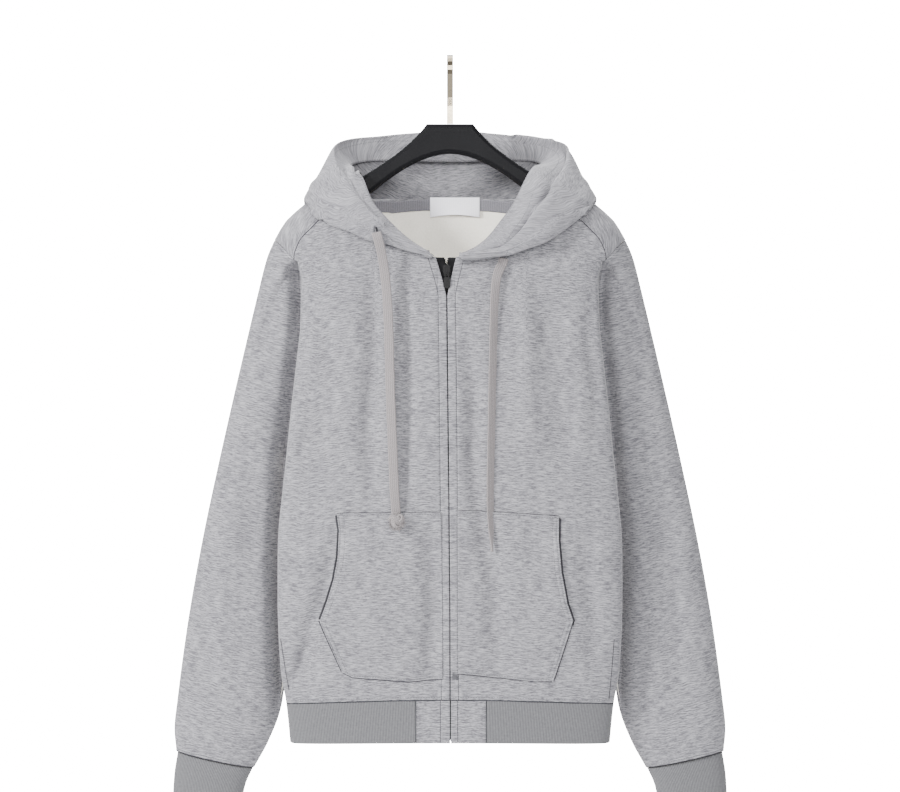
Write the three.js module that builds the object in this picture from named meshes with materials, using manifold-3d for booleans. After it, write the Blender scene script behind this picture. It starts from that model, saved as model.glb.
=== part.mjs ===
// Zip up hoodie on a flat-topped hanger, in millimetres, +Z up, the front facing -Y.
// The origin is the top of the hook's inside, where the hook rests on a rail.
// Cloth pieces are thin walls, made from grids of points worked out from the tables below.
import * as THREE from "three";
import { mergeVertices } from "three/addons/utils/BufferGeometryUtils.js";
import Module from "manifold-3d";

const wasm = await Module();
wasm.setup();

// Driving sizes
const CLOTH = 2.4; // brushed fleece wall
const HOOD_CLOTH = 3.2; // the hood is two layers
const RIB_CLOTH = 2.6;
const SEAM_GAP = 0.3;
const NECK_GAP = 0.6;
const NECK_LIFT = 3; // the hood stands on the neckline at the back and over the shoulders
const HEM_SEAM_Z = -826;
const HEM_END_Z = -881;
const HEM_SIDE_DROP = 7; // the hem hangs lower at the sides
const ARMPIT_Z = -478;
const NECK_FRONT_Z = -262;
const NECK_BACK_Z = -184.5;
const NECK_RISE = 86; // front neck to the shoulder seam
const NECK_FRACTION = 0.514; // share of the half width where the neckline ends
const RIDGE_RADIUS = 70; // round of the shoulder over the hanger
const SHOULDER_HALF = 195;
const SHOULDER_TIP = 32.5; // how far the shoulder point reaches past that
const TIP_POWER = 0.8;
const FRONT_POWER = 0.7;
const BACK_POWER = 0.9;
const BACK_NECK_POWER = 24; // the back neckline is all but straight
const WRAP_START = 1;
const WRAP_END = 1.2;

// Height of the shoulder line by distance from the middle
const SHOULDER_LINE = [
  { at: 0, z: -93 },
  { at: 112, z: -151 },
  { at: 188, z: -191 },
  { at: 200, z: -201 },
  { at: 212, z: -212.5 },
  { at: 219, z: -223 },
  { at: 227.5, z: -238 },
];

// Body sections: half width, depth of the front and back, depth at the side fold,
// how far the side is tucked in behind the fold, and the depth where the side seam lies
const BODY = [
  { at: -900, half: 204, front: 47, back: 40, fold: 18, tuck: 4, seam: -8 },
  { at: -832, half: 210.5, front: 50, back: 42, fold: 22, tuck: 8, seam: -6 },
  { at: -790, half: 217, front: 55, back: 46, fold: 27, tuck: 14, seam: 0 },
  { at: -700, half: 220.5, front: 60, back: 50, fold: 32, tuck: 22, seam: 4 },
  { at: -630, half: 220, front: 62, back: 52, fold: 34, tuck: 22, seam: 4 },
  { at: -560, half: 214, front: 62, back: 53, fold: 34, tuck: 22, seam: 2 },
  { at: -510, half: 208.5, front: 61.5, back: 52.5, fold: 34, tuck: 19, seam: -3 },
  { at: -478, half: 205.5, front: 61, back: 52, fold: 33, tuck: 13, seam: -4 },
  { at: -400, half: 197, front: 59, back: 51, fold: 32, tuck: 6, seam: 0 },
  { at: -346, half: 191.5, front: 56, back: 50, fold: 31, tuck: 4, seam: 0 },
  { at: -290, half: 190, front: 53, back: 48, fold: 30, tuck: 4, seam: 0 },
  { at: -266, half: 195, front: 51, back: 47, fold: 29, tuck: 5, seam: 0 },
  { at: -200, half: 195, front: 45, back: 44, fold: 27, tuck: 5, seam: 0 },
  { at: -140, half: 195, front: 40, back: 40, fold: 25, tuck: 5, seam: 0 },
];
const ARMHOLE_FRONT_Y = -21;
const ARMHOLE_BACK_Y = 22;
const ARMHOLE_ROUND = 60;
const ARMHOLE_EASE = 2.4; // the sleeve head starts this far out from the armhole
const ARMHOLE_TUCK = 0.93; // and a little inside its breadth

// How far the shoulder seam lies below the shoulder line, by share of the half width
const SHOULDER_SEAM = [
  { at: 0.514, drop: 31 },
  { at: 0.79, drop: 35 },
  { at: 0.87, drop: 42 },
  { at: 0.92, drop: 46 },
  { at: 0.97, drop: 55 },
  { at: 1, drop: 63 },
];

// Where the zip runs: its middle, and the cloth edges beside it
const ZIP_LINE = [
  { at: -900, middle: 0.7, left: -0.2, right: 1.6 },
  { at: -571, middle: -1.3, left: -2.3, right: -0.3 },
  { at: -312, middle: -4, left: -5.4, right: -2.6 },
  { at: -292, middle: -4.3, left: -9.4, right: 0.6 },
  { at: -262, middle: -4.6, left: -18.4, right: 8 },
];

// Large soft creases on the front and back: top, bottom, breadth and depth
const FRONT_CREASES = [
  { x0: -104, z0: -262, x1: -108, z1: -600, breadth: 17, depth: 5 },
  { x0: -56, z0: -280, x1: -56, z1: -560, breadth: 11, depth: 3 },
  { x0: 24, z0: -350, x1: 40, z1: -650, breadth: 13, depth: 4 },
  { x0: 48, z0: -590, x1: 66, z1: -800, breadth: 15, depth: 4 },
  { x0: -30, z0: -590, x1: -28, z1: -820, breadth: 15, depth: 4 },
  { x0: 128, z0: -300, x1: 150, z1: -560, breadth: 22, depth: 3 },
  { x0: -168, z0: -740, x1: -206, z1: -815, breadth: 9, depth: 4 },
];
const BACK_CREASES = [
  { x0: -60, z0: -330, x1: -84, z1: -790, breadth: 20, depth: 5 },
  { x0: 36, z0: -330, x1: 26, z1: -700, breadth: 16, depth: 4 },
  { x0: 110, z0: -320, x1: 134, z1: -800, breadth: 22, depth: 5 },
  { x0: -130, z0: -300, x1: -150, z1: -600, breadth: 18, depth: 4 },
];

// Column places, as shares of the half width; past one they wrap round the side
const SHOULDER_COLUMNS = [0.514, 0.58, 0.66, 0.74, 0.82, 0.89, 0.95, 1];
const FRONT_COLUMNS = [0, 0.06, 0.14, 0.22, 0.3, 0.38, 0.44, 0.48, 0.5, ...SHOULDER_COLUMNS, 1.1, 1.2];
const BACK_COLUMNS = [0, 0.14, 0.28, 0.4, 0.47, 0.5, ...SHOULDER_COLUMNS];
const LOWER_ROWS = 9;
const FRONT_UPPER_ROWS = 8;
const BACK_SIDE_ROWS = 4; // armpit to where the shoulder starts to round
const BACK_ROUND_ROWS = 2; // from there to the level of the back neckline
const YOKE_UP_ROWS = 4; // from there to the shoulder line
const YOKE_OVER_ROWS = 4; // over the shoulder to its seam

// Sleeve: the outer and inner edges of its flat width, from the shoulder point and armpit down
const SLEEVE_OUTER = [
  [227.5, 1, -238],
  [238, 8, -262],
  [253, 14, -314],
  [277, 19, -418],
  [301, 22, -523],
  [323, 22, -627],
  [341.5, 22, -731],
  [355.5, 20, -836],
  [359, 19, -872],
  [356.5, 18, -900],
];
const SLEEVE_INNER = [
  [193.5, 0, -479],
  [203, 9, -497],
  [208, 19, -540],
  [210, 23, -620],
  [213, 23, -730],
  [219, 20, -840],
  [236, 19, -888],
  [254.5, 18, -922],
];
const SLEEVE_DEPTHS = [
  { at: 0, half: 21 },
  { at: 0.2, half: 24 },
  { at: 0.5, half: 28 },
  { at: 0.85, half: 29 },
  { at: 1, half: 23 },
];
const SLEEVE_ROWS = 15;
const SLEEVE_BLEND = 0.3;
// Soft rolls across the sleeve: place along it, how far they stand out, their breadth
const SLEEVE_ROLLS = [
  { at: 0.93, height: 4, breadth: 0.03 },
  { at: 0.8, height: 2.5, breadth: 0.04 },
  { at: 0.56, height: 2, breadth: 0.05 },
];
const CUFF_OUTER = [
  [354.5, 18, -901.5],
  [359, 18, -930],
  [361.5, 18, -972],
];
const CUFF_INNER = [
  [256.5, 18, -923],
  [266.5, 18, -946],
  [273.5, 18, -984],
];
const CUFF_HALF = 20;
const CUFF_NARROWS = 2; // the cuff is this much shallower at its end
const OVAL_WIDE_POWER = 0.9; // how square a sleeve's section is across
const OVAL_DEEP_POWER = 0.8;
const CUFF_ROWS = 4;
const CUFF_POINTS = 28;

// Hem band and the tabs beside the zip
const TAB_LEFT = { inner: -0.6, outer: -43.5 };
const TAB_RIGHT = { inner: 1.6, outer: 46.3 };
const HEM_ROWS = 4;

// Pocket outlines, from the top at the zip round the opening and the lower seam
const POCKET_LEFT = [
  [-11.5, -586.5],
  [-143.5, -588],
  [-140.5, -609],
  [-142.5, -643],
  [-147.8, -672],
  [-156.5, -700],
  [-166, -725.5],
  [-153, -753.5],
  [-136.5, -790],
  [-123.5, -796.5],
  [-52, -801.5],
  [-9.5, -798],
];
const POCKET_RIGHT = [
  [9.5, -584],
  [138, -591.5],
  [137.5, -622],
  [141, -661.5],
  [148.5, -702],
  [156, -724],
  [143.5, -763.5],
  [131, -801.5],
  [108, -801.5],
  [63.5, -796.5],
  [10.5, -791],
];
const POCKET_CLOTH = 1.9;
const PRISM_FRONT_Y = -110;
const PRISM_BACK_Y = -12;

// Hood sections, from the front corner on the left round the back to the right.
// turn: place round the neckline (0 front, 1 back); drop: how far the foot hangs below it;
// fold, edge and rim: the lower fold, the top of the edge, and the end of the turned-in band
const HOOD = [
  { side: -1, turn: 0.065, drop: 3, fold: [21, -57, -264], edge: [24, -58.5, -260.5], rim: [27, -56.5, -256] },
  { side: -1, turn: 0.155, drop: 4, fold: [49, -61.5, -257], edge: [53, -63, -249], rim: [50, -57, -241.5] },
  { side: -1, turn: 0.24, drop: 9, fold: [71, -64.5, -250], edge: [77, -66, -229], rim: [72, -56, -221] },
  { side: -1, turn: 0.335, drop: 8, fold: [99, -66, -243.5], edge: [96, -63, -210], rim: [90, -49, -202] },
  { side: -1, turn: 0.42, drop: 3, fold: [124, -63, -234], edge: [110, -56.5, -194], rim: [101, -38, -188] },
  { side: -1, turn: 0.5, drop: 0, fold: [152, -52, -222], edge: [122, -43.5, -176], rim: [112, -26, -173] },
  { side: -1, turn: 0.58, drop: 0, fold: [177, -28, -203], edge: [134, -25, -157], rim: [122, -15.5, -158] },
  { side: -1, turn: 0.65, drop: 0, fold: [190, 3, -185], edge: [144, 0, -138], rim: [124, 10, -141] },
  { side: -1, turn: 0.72, drop: 0, fold: [187, 38, -200], edge: [150.5, 24, -119], rim: [130, 32, -137] },
  { side: -1, turn: 0.8, drop: 0, fold: [172, 66, -232], edge: [146, 43, -108], rim: [123, 55, -131] },
  { side: -1, turn: 0.89, drop: 0, fold: [120, 85, -274], edge: [95, 71, -97], rim: [82, 67, -126] },
  { side: 1, turn: 1, drop: 0, fold: [0, 94, -300], edge: [0, 83, -88], rim: [0, 77, -129] },
  { side: 1, turn: 0.89, drop: 0, fold: [120, 85, -274], edge: [95, 71, -97], rim: [80, 67, -126] },
  { side: 1, turn: 0.8, drop: 0, fold: [172, 66, -232], edge: [147, 43, -109], rim: [118, 56, -130] },
  { side: 1, turn: 0.72, drop: 0, fold: [187, 38, -200], edge: [152, 24, -121], rim: [118, 38, -136] },
  { side: 1, turn: 0.65, drop: 0, fold: [190, 3, -185], edge: [146, -1, -141], rim: [108, 10, -140] },
  { side: 1, turn: 0.58, drop: 0, fold: [179, -28, -202], edge: [136, -27, -162], rim: [100, -15.5, -152] },
  { side: 1, turn: 0.5, drop: 0, fold: [157, -50, -220], edge: [124, -48, -186], rim: [91, -22, -170] },
  { side: 1, turn: 0.42, drop: 3, fold: [131, -63, -240], edge: [108, -60, -205], rim: [80, -36, -195] },
  { side: 1, turn: 0.335, drop: 10, fold: [103, -66.5, -252.5], edge: [90, -66, -231], rim: [64, -47, -215] },
  { side: 1, turn: 0.24, drop: 18, fold: [74, -65, -261], edge: [67, -66, -250], rim: [51, -55, -234] },
  { side: 1, turn: 0.13, drop: 11, fold: [41, -62, -266.5], edge: [38, -63, -260], rim: [30, -57, -252] },
  { side: 1, turn: 0.035, drop: 7, fold: [11, -58, -268], edge: [11, -59, -264], rim: [12, -57, -259] },
];
const HOOD_STEPS = 2; // grid columns between two hood sections
const HOOD_ROWS = 16;
const NECK_PLACES = 24;
const FOLD_ROUND = 8;
const EDGE_ROUND = 5;
const EDGE_WIDE = 8; // breadth of the round edge
const FOLD_REACH = 40; // sections shorter than this have smaller rounds
const EDGE_REACH = 16;
const UNDER_BELLY = 3;
const SMALL_SECTION = 0.35; // scale under which a section is drawn without rounds
const HOOD_BELLY = 7;
const HOOD_CLEAR = 5.4; // the hood's under side lies this far off the body
const NECK_HOLD = 5; // the hood stays up this far inside the neckline
const NECK_FADE = 14; // and sinks over this distance
const UNDER_END = 0.3; // share of a section that lies under the fold
const OVER_START = 0.5; // and where the upper layer is full height

// Neck tape and blank label inside the back neck
const TAPE_HEIGHT = 13;
const TAPE_HALF = 92;
const TAPE_LEVEL = 80; // the tape runs level from here outwards
const TAPE_THICK = 1;
const LABEL = { left: -26, right: 39, top: -179, height: 26, thick: 1, bow: 2.5 };

// Zip
const TAPE_BREADTH = 12;
const TAPE_APART = 0.21; // from the zip's middle to each tape
const ZIP_SPREAD = 0.25; // how fast the tapes part above the slider
const TAPE_CLEAR = 1.3;
const ZIP_TOP_Z = -263;
const ZIP_END_Z = -879;
const ZIP_ROWS = 14;
const SLIDER = { x: -4.3, top: -273, long: 14, wide: 9.4, neck: 6.6, thick: 3.6, waist: 6.3, crown: 5.2 };
const BRIDGE = { wide: 1.8, high: 3.3, bar: 1.05 };
const PULL = { wide: 8.6, long: 21, thick: 1.3, bar: 1.5, hole: 3.2, window: 5, neck: 5.3, shoulder: 6 };

// Hanger and hook
const HANGER_THICK = 16;
const HANGER_BEVEL = 5;
const HANGER_CLEAR = 1.5; // the shoulder's facets lie a little inside its curve
const HANGER_TIP_X = 201;
const HANGER_FALL = 0.06; // how fast the tips fall away under the cloth
const HANGER_FALL_START = 160; // from here out the arm drops a little more than the shoulder
const HANGER_ARM = 22;
const HOOK = { wide: 8, thick: 2, radius: 17, stem: -86.9, mouth: 28 };

// Draw cords: flat, with their routes
const CORD_WIDE = 12;
const CORD_THICK = 2.4;
const CORD_STEPS = 30;
const CORD_LEFT = [
  [-93, -71, -233.5],
  [-91, -73.5, -240],
  [-88.3, -73.5, -250],
  [-85.8, -71.6, -262],
  [-83.6, -69.2, -276],
  [-81.5, -67.2, -292],
  [-79.8, -66.3, -310],
  [-78.4, -65.8, -332],
  [-77.3, -65.6, -360],
  [-76.4, -65.8, -392],
  [-75.6, -66.2, -424],
  [-74.4, -66.6, -458],
  [-73, -66.9, -492],
  [-71.6, -67, -526],
  [-70.2, -67, -558],
  [-68, -67, -588],
];
const CORD_RIGHT = [
  [66.4, -53.6, -271.5],
  [63.6, -57.4, -277],
  [60.6, -59.5, -284],
  [58.4, -60.4, -294],
  [56.8, -60.7, -310],
  [55.6, -61.1, -332],
  [54.8, -61.7, -362],
  [54, -62.4, -396],
  [53.2, -62.9, -432],
  [52.6, -63.6, -468],
  [51.8, -63.9, -504],
  [51, -64.2, -540],
  [50.8, -64.2, -572],
  [51.6, -64.2, -600],
  [53, -64.2, -636],
];
const KNOT = { x: -67.4, y: -69.6, z: -597.3, wide: 8, high: 9, thick: 5.2 };

// Colours
const MARL = 0xa8a7aa;
const RIB = 0x9c9ca0;
const TAPE_GREY = 0xa1a0a6;
const LABEL_WHITE = 0xe6e5ed;
const CORD_GREY = 0xb2adae;
const BLACK = 0x17171a;
const HANGER_BLACK = 0x2f2e33;
const NICKEL = 0xb9b3a4;

const part = new THREE.Group();

/** Add one named solid to the part. */
function add(name, geometry, colour, roughness = 0.95, metalness = 0) {
  const material = new THREE.MeshStandardMaterial({ color: colour, roughness, metalness });
  const mesh = new THREE.Mesh(geometry, material);
  mesh.name = name;
  part.add(mesh);
  return mesh;
}

/** Value of a named column in a table at a place, smooth between its rows. */
function lookUp(table, column, at) {
  const rows = table[0].at < table[table.length - 1].at ? table : [...table].reverse();
  if (at <= rows[0].at) return rows[0][column];
  for (let i = 1; i < rows.length; i += 1) {
    if (at > rows[i].at) continue;
    const share = (at - rows[i - 1].at) / (rows[i].at - rows[i - 1].at);
    return THREE.MathUtils.lerp(rows[i - 1][column], rows[i][column], share);
  }
  return rows[rows.length - 1][column];
}

/** Depth of the creases in a table at a point of a panel. */
function creaseDepth(table, x, z) {
  let depth = 0;
  for (const crease of table) {
    const along = (crease.z0 - z) / (crease.z0 - crease.z1);
    if (along <= 0 || along >= 1) continue;
    const off = (x - THREE.MathUtils.lerp(crease.x0, crease.x1, along)) / crease.breadth;
    depth += crease.depth * Math.sin(Math.PI * along) ** 0.6 * Math.exp(-off * off);
  }
  return depth;
}

/** How far open the armhole is at a height: 0 at the armpit and below, 1 well above it. */
function armholeOpen(z) {
  return Math.sqrt(THREE.MathUtils.clamp((z - ARMPIT_Z) / ARMHOLE_ROUND, 0, 1));
}

/** Height along a column where the shoulder starts to round over. */
function shoulderStart(share) {
  return lookUp(SHOULDER_LINE, "z", Math.min(share, 1) * SHOULDER_HALF) - RIDGE_RADIUS;
}

/**
 * A point of the body's outer surface. share is the place across, 0 at the middle and 1 at the
 * side fold, and past 1 it wraps round the side. path is the height, and past the start of the
 * shoulder the length round it. front says which face the path starts on.
 */
function bodyPoint(side, share, path, front) {
  const start = shoulderStart(share);
  const round = Math.max(0, (path - start) / RIDGE_RADIUS);
  const flat = Math.min(share, 1);
  let half = lookUp(BODY, "half", Math.min(path, start));
  let z = Math.min(path, start);
  if (round > 0) {
    half = SHOULDER_HALF + SHOULDER_TIP * Math.sin(round) ** TIP_POWER;
    z = lookUp(SHOULDER_LINE, "z", flat * half) - RIDGE_RADIUS * (1 - Math.sin(round));
  }
  const lean = Math.cos(round);
  const onFront = front === lean >= 0;
  const depth = lookUp(BODY, onFront ? "front" : "back", z);
  const fold = lookUp(BODY, "fold", z);
  const seam = lookUp(BODY, "seam", z);
  const tuck = lookUp(BODY, "tuck", z);
  const open = armholeOpen(z);
  let x = flat * half;
  let y;
  if (onFront) {
    const level = Math.sqrt(1 - Math.min(1, flat ** (1 / FRONT_POWER)) ** 2) ** FRONT_POWER;
    y = -(fold + (depth - fold) * level);
    const wrap = Math.max(0, (share - WRAP_START) / (WRAP_END - WRAP_START));
    const end = THREE.MathUtils.lerp(seam, ARMHOLE_FRONT_Y, open);
    y = THREE.MathUtils.lerp(y, end, wrap);
    x -= tuck * wrap ** 2;
    y += creaseDepth(FRONT_CREASES, side * x, z) * (1 - wrap);
  } else {
    const level = Math.sqrt(1 - Math.min(1, flat ** (1 / BACK_POWER)) ** 2) ** BACK_POWER;
    const end = THREE.MathUtils.lerp(seam + SEAM_GAP, ARMHOLE_BACK_Y, open);
    y = end + (depth - end) * level;
    x = flat * (half - tuck * (round > 0 ? Math.max(0, lean) : 1));
    y -= creaseDepth(BACK_CREASES, side * x, z);
  }
  return new THREE.Vector3(side * x, y * Math.abs(lean), z);
}

/** Angle of the shoulder seam past the start of the round, at a share of the half width. */
function seamAngle(share) {
  return Math.asin(1 - lookUp(SHOULDER_SEAM, "drop", share) / RIDGE_RADIUS);
}

/** Where a front column ends: at the neckline or at the shoulder seam. */
function frontEnd(share) {
  const start = shoulderStart(share);
  if (share >= NECK_FRACTION) return start + RIDGE_RADIUS * seamAngle(Math.min(share, 1));
  const z = NECK_FRONT_Z + NECK_RISE * (1 - Math.sqrt(1 - (share / NECK_FRACTION) ** 2));
  return z <= start ? z : start + RIDGE_RADIUS * Math.asin((z - start) / RIDGE_RADIUS);
}

/** Where a back column ends: at the back neckline, or over the shoulder at its seam. */
function backEnd(share) {
  const start = shoulderStart(share);
  if (share >= NECK_FRACTION) return start + RIDGE_RADIUS * (Math.PI - seamAngle(share));
  const last = shoulderStart(NECK_FRACTION) + RIDGE_RADIUS * (Math.PI - seamAngle(NECK_FRACTION));
  const rise = 1 - (1 - (share / NECK_FRACTION) ** BACK_NECK_POWER) ** (1 / BACK_NECK_POWER);
  return THREE.MathUtils.lerp(NECK_BACK_Z, last, rise);
}

/** Even steps from one height to another, without the first. */
function stepsBetween(from, to, count) {
  return Array.from({ length: count }, (_, i) => THREE.MathUtils.lerp(from, to, (i + 1) / count));
}

/** Heights of a column's rows below the armpit. */
function lowerPath(share) {
  const foot = HEM_SEAM_Z - HEM_SIDE_DROP * Math.min(share, 1) ** 2;
  return [foot, ...stepsBetween(foot, ARMPIT_Z, LOWER_ROWS)];
}

/** Heights of one front column's rows, from the hem seam to its end. */
function frontPath(share) {
  return [...lowerPath(share), ...stepsBetween(ARMPIT_Z, frontEnd(share) - SEAM_GAP, FRONT_UPPER_ROWS)];
}

/** Height of the back neckline's level at a share, where the yokes beside it start. */
function yokeStart(share) {
  return shoulderStart(share) + NECK_BACK_Z - shoulderStart(NECK_FRACTION);
}

/** Heights of one back column's rows, from the hem seam to the level of the back neckline. */
function backPath(share) {
  const model = Math.max(share, NECK_FRACTION);
  const start = shoulderStart(model);
  const sideRows = stepsBetween(ARMPIT_Z, start, BACK_SIDE_ROWS);
  return [...lowerPath(share), ...sideRows, ...stepsBetween(start, yokeStart(model), BACK_ROUND_ROWS)];
}

/** Heights of one column's rows from there over the shoulder, with a row on the shoulder line. */
function yokePath(share) {
  const ridge = shoulderStart(share) + (RIDGE_RADIUS * Math.PI) / 2;
  const level = yokeStart(share);
  const upRows = stepsBetween(level, ridge, YOKE_UP_ROWS);
  return [...backPath(share).slice(-2), ...upRows, ...stepsBetween(ridge, backEnd(share), YOKE_OVER_ROWS)];
}

/** The body's outward normal at a point, from the surface itself. */
function bodyNormal(side, share, path, front) {
  const across = 0.01;
  const along = 1;
  const low = Math.max(0, share - across);
  const high = Math.min(front ? WRAP_END : 1, share + across);
  const right = bodyPoint(side, high, path, front).sub(bodyPoint(side, low, path, front));
  const up = bodyPoint(side, share, path + along, front).sub(bodyPoint(side, share, path - along, front));
  return right.cross(up).normalize().multiplyScalar(front === side > 0 ? 1 : -1);
}

/** Outer points of one front, from the zip to the side. */
function frontGrid(side) {
  const edge = side < 0 ? "left" : "right";
  return FRONT_COLUMNS.map((share) =>
    frontPath(share).map((path) => {
      const point = bodyPoint(side, share, path, true);
      const shift = lookUp(ZIP_LINE, edge, point.z);
      const fade = Math.max(0, 1 - Math.min(share, 1) / NECK_FRACTION);
      point.x += shift * fade ** 2;
      return point;
    }),
  );
}

/** Outward normals of one front. */
function frontNormals(side) {
  return FRONT_COLUMNS.map((share) => frontPath(share).map((path) => bodyNormal(side, share, path, true)));
}

/** Columns of the back, from the left side to the right. */
function backColumns() {
  return [
    ...[...BACK_COLUMNS].reverse().map((share) => ({ side: -1, share })),
    ...BACK_COLUMNS.slice(1).map((share) => ({ side: 1, share })),
  ];
}

/** A wall of the back over some columns, whose rows lie at the heights of a path. */
function backWall(columns, path) {
  const grid = columns.map(({ side, share }) => path(share).map((at) => bodyPoint(side, share, at, false)));
  const normals = columns.map(({ side, share }) => {
    return path(share).map((at) => bodyNormal(side, share, at, false));
  });
  return toSolid(wall(grid, CLOTH, { sign: -1, normals }));
}

/** The back: the panel below the neckline and the two yokes over the shoulders, in one piece. */
function backSolid() {
  const main = backWall(backColumns(), backPath);
  const left = backWall([...SHOULDER_COLUMNS].reverse().map((share) => ({ side: -1, share })), yokePath);
  const right = backWall(SHOULDER_COLUMNS.map((share) => ({ side: 1, share })), yokePath);
  return toGeometry(main.add(left).add(right));
}

/** Normals of a grid of points, away from the wall's inside. */
function gridNormals(grid, closed, sign) {
  const columns = grid.length;
  const rows = grid[0].length;
  return grid.map((column, i) =>
    column.map((point, j) => {
      const before = closed ? grid[(i + columns - 1) % columns][j] : grid[Math.max(0, i - 1)][j];
      const after = closed ? grid[(i + 1) % columns][j] : grid[Math.min(columns - 1, i + 1)][j];
      const below = column[Math.max(0, j - 1)];
      const above = column[Math.min(rows - 1, j + 1)];
      const across = new THREE.Vector3().subVectors(after, before);
      const along = new THREE.Vector3().subVectors(above, below);
      return across.cross(along).normalize().multiplyScalar(sign);
    }),
  );
}

/** A closed solid between two grids of points of the same size. */
function solidBetween(outer, inner, closed, sign) {
  const columns = outer.length;
  const rows = outer[0].length;
  const positions = [];
  for (const grid of [outer, inner]) {
    for (const column of grid) for (const point of column) positions.push(point.x, point.y, point.z);
  }
  const index = [];
  const place = (layer, i, j) => layer * columns * rows + (i % columns) * rows + j;
  const quad = (a, b, c, d) => {
    if (sign > 0) index.push(a, b, c, a, c, d);
    else index.push(a, c, b, a, d, c);
  };
  const spans = closed ? columns : columns - 1;
  for (let i = 0; i < spans; i += 1) {
    for (let j = 0; j < rows - 1; j += 1) {
      quad(place(0, i, j), place(0, i + 1, j), place(0, i + 1, j + 1), place(0, i, j + 1));
      quad(place(1, i, j), place(1, i, j + 1), place(1, i + 1, j + 1), place(1, i + 1, j));
    }
    quad(place(0, i, 0), place(1, i, 0), place(1, i + 1, 0), place(0, i + 1, 0));
    quad(place(0, i, rows - 1), place(0, i + 1, rows - 1), place(1, i + 1, rows - 1), place(1, i, rows - 1));
  }
  if (!closed) {
    const last = columns - 1;
    for (let j = 0; j < rows - 1; j += 1) {
      quad(place(0, 0, j), place(0, 0, j + 1), place(1, 0, j + 1), place(1, 0, j));
      quad(place(0, last, j), place(1, last, j), place(1, last, j + 1), place(0, last, j + 1));
    }
  }
  const geometry = new THREE.BufferGeometry();
  geometry.setAttribute("position", new THREE.Float32BufferAttribute(positions, 3));
  geometry.setIndex(index);
  return geometry;
}

/** Points moved along their normals. */
function moved(grid, normals, distance) {
  return grid.map((column, i) =>
    column.map((point, j) => point.clone().addScaledVector(normals[i][j], distance)),
  );
}

/** A cloth wall whose outer face is a grid of points. */
function wall(grid, thickness, { closed = false, sign = 1, normals = gridNormals(grid, closed, sign) } = {}) {
  return solidBetween(grid, moved(grid, normals, -thickness), closed, sign);
}

/** A three.js geometry as a solid to join or cut. */
function toSolid(geometry) {
  const bare = geometry.clone();
  bare.deleteAttribute("normal");
  bare.deleteAttribute("uv");
  const merged = mergeVertices(bare, 1e-4);
  return new wasm.Manifold(
    new wasm.Mesh({
      numProp: 3,
      vertProperties: new Float32Array(merged.attributes.position.array),
      triVerts: new Uint32Array(merged.index.array),
    }),
  );
}

/** A joined or cut solid as a three.js geometry. */
function toGeometry(solid) {
  const mesh = solid.getMesh();
  const geometry = new THREE.BufferGeometry();
  geometry.setAttribute("position", new THREE.Float32BufferAttribute(mesh.vertProperties, 3));
  geometry.setIndex(new THREE.Uint32BufferAttribute(mesh.triVerts, 1));
  return geometry;
}

/** A prism whose outline lies in the plane of the front, reaching from one depth to another. */
function frontPrism(outline, nearY, farY) {
  const shape = new THREE.Shape(outline.map(([x, z]) => new THREE.Vector2(x, z)));
  const prism = new THREE.ExtrudeGeometry(shape, { depth: farY - nearY, bevelEnabled: false });
  prism.rotateX(Math.PI / 2);
  prism.translate(0, farY, 0);
  return prism;
}

/** A box by its lowest and highest corners. */
function box(low, high) {
  const geometry = new THREE.BoxGeometry(high[0] - low[0], high[1] - low[1], high[2] - low[2]);
  geometry.translate((low[0] + high[0]) / 2, (low[1] + high[1]) / 2, (low[2] + high[2]) / 2);
  return geometry;
}

/** A smooth curve through points given as number triples. */
function curveThrough(points) {
  return new THREE.CatmullRomCurve3(points.map((point) => new THREE.Vector3(...point)), false, "centripetal");
}

// Body panels
const frontGrids = { left: frontGrid(-1), right: frontGrid(1) };
add("front_left", wall(frontGrids.left, CLOTH, { sign: -1, normals: frontNormals(-1) }), MARL);
add("front_right", wall(frontGrids.right, CLOTH, { normals: frontNormals(1) }), MARL);
add("back", backSolid(), MARL);

// Pockets: patches that follow the front's own points, moved out
function pocket(grid, sign, outline) {
  const normals = gridNormals(grid, false, sign);
  const slab = solidBetween(
    moved(grid, normals, SEAM_GAP + POCKET_CLOTH),
    moved(grid, normals, SEAM_GAP),
    false,
    sign,
  );
  return toGeometry(toSolid(slab).intersect(toSolid(frontPrism(outline, PRISM_FRONT_Y, PRISM_BACK_Y))));
}
add("pocket_left", pocket(frontGrids.left, -1, POCKET_LEFT), MARL);
add("pocket_right", pocket(frontGrids.right, 1, [...POCKET_RIGHT].reverse()), MARL);

/** Points round one armhole: up the back panel's edge, over the shoulder, down the front's edge. */
function armholeLoop(side) {
  const backEdge = [...backPath(1), ...yokePath(1).slice(2)].map((path) => bodyPoint(side, 1, path, false));
  const grid = side < 0 ? frontGrids.left : frontGrids.right;
  const frontEdge = grid[grid.length - 1];
  const up = backEdge.slice(LOWER_ROWS);
  const down = frontEdge.slice(LOWER_ROWS + 1).reverse();
  return [...up, ...down];
}

/** Angle of each armhole point: 0 at the shoulder point and a half turn at the armpit. */
function loopAngles(loop) {
  const count = loop.length;
  const lengths = [0];
  for (let i = 1; i < count; i += 1) lengths.push(lengths[i - 1] + loop[i].distanceTo(loop[i - 1]));
  const total = lengths[count - 1] + loop[count - 1].distanceTo(loop[0]);
  let top = 0;
  for (let i = 0; i < count; i += 1) if (loop[i].z > loop[top].z) top = i;
  return lengths.map((length) =>
    length <= lengths[top]
      ? Math.PI * (length / lengths[top]) - Math.PI
      : (Math.PI * (length - lengths[top])) / (total - lengths[top]),
  );
}

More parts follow.
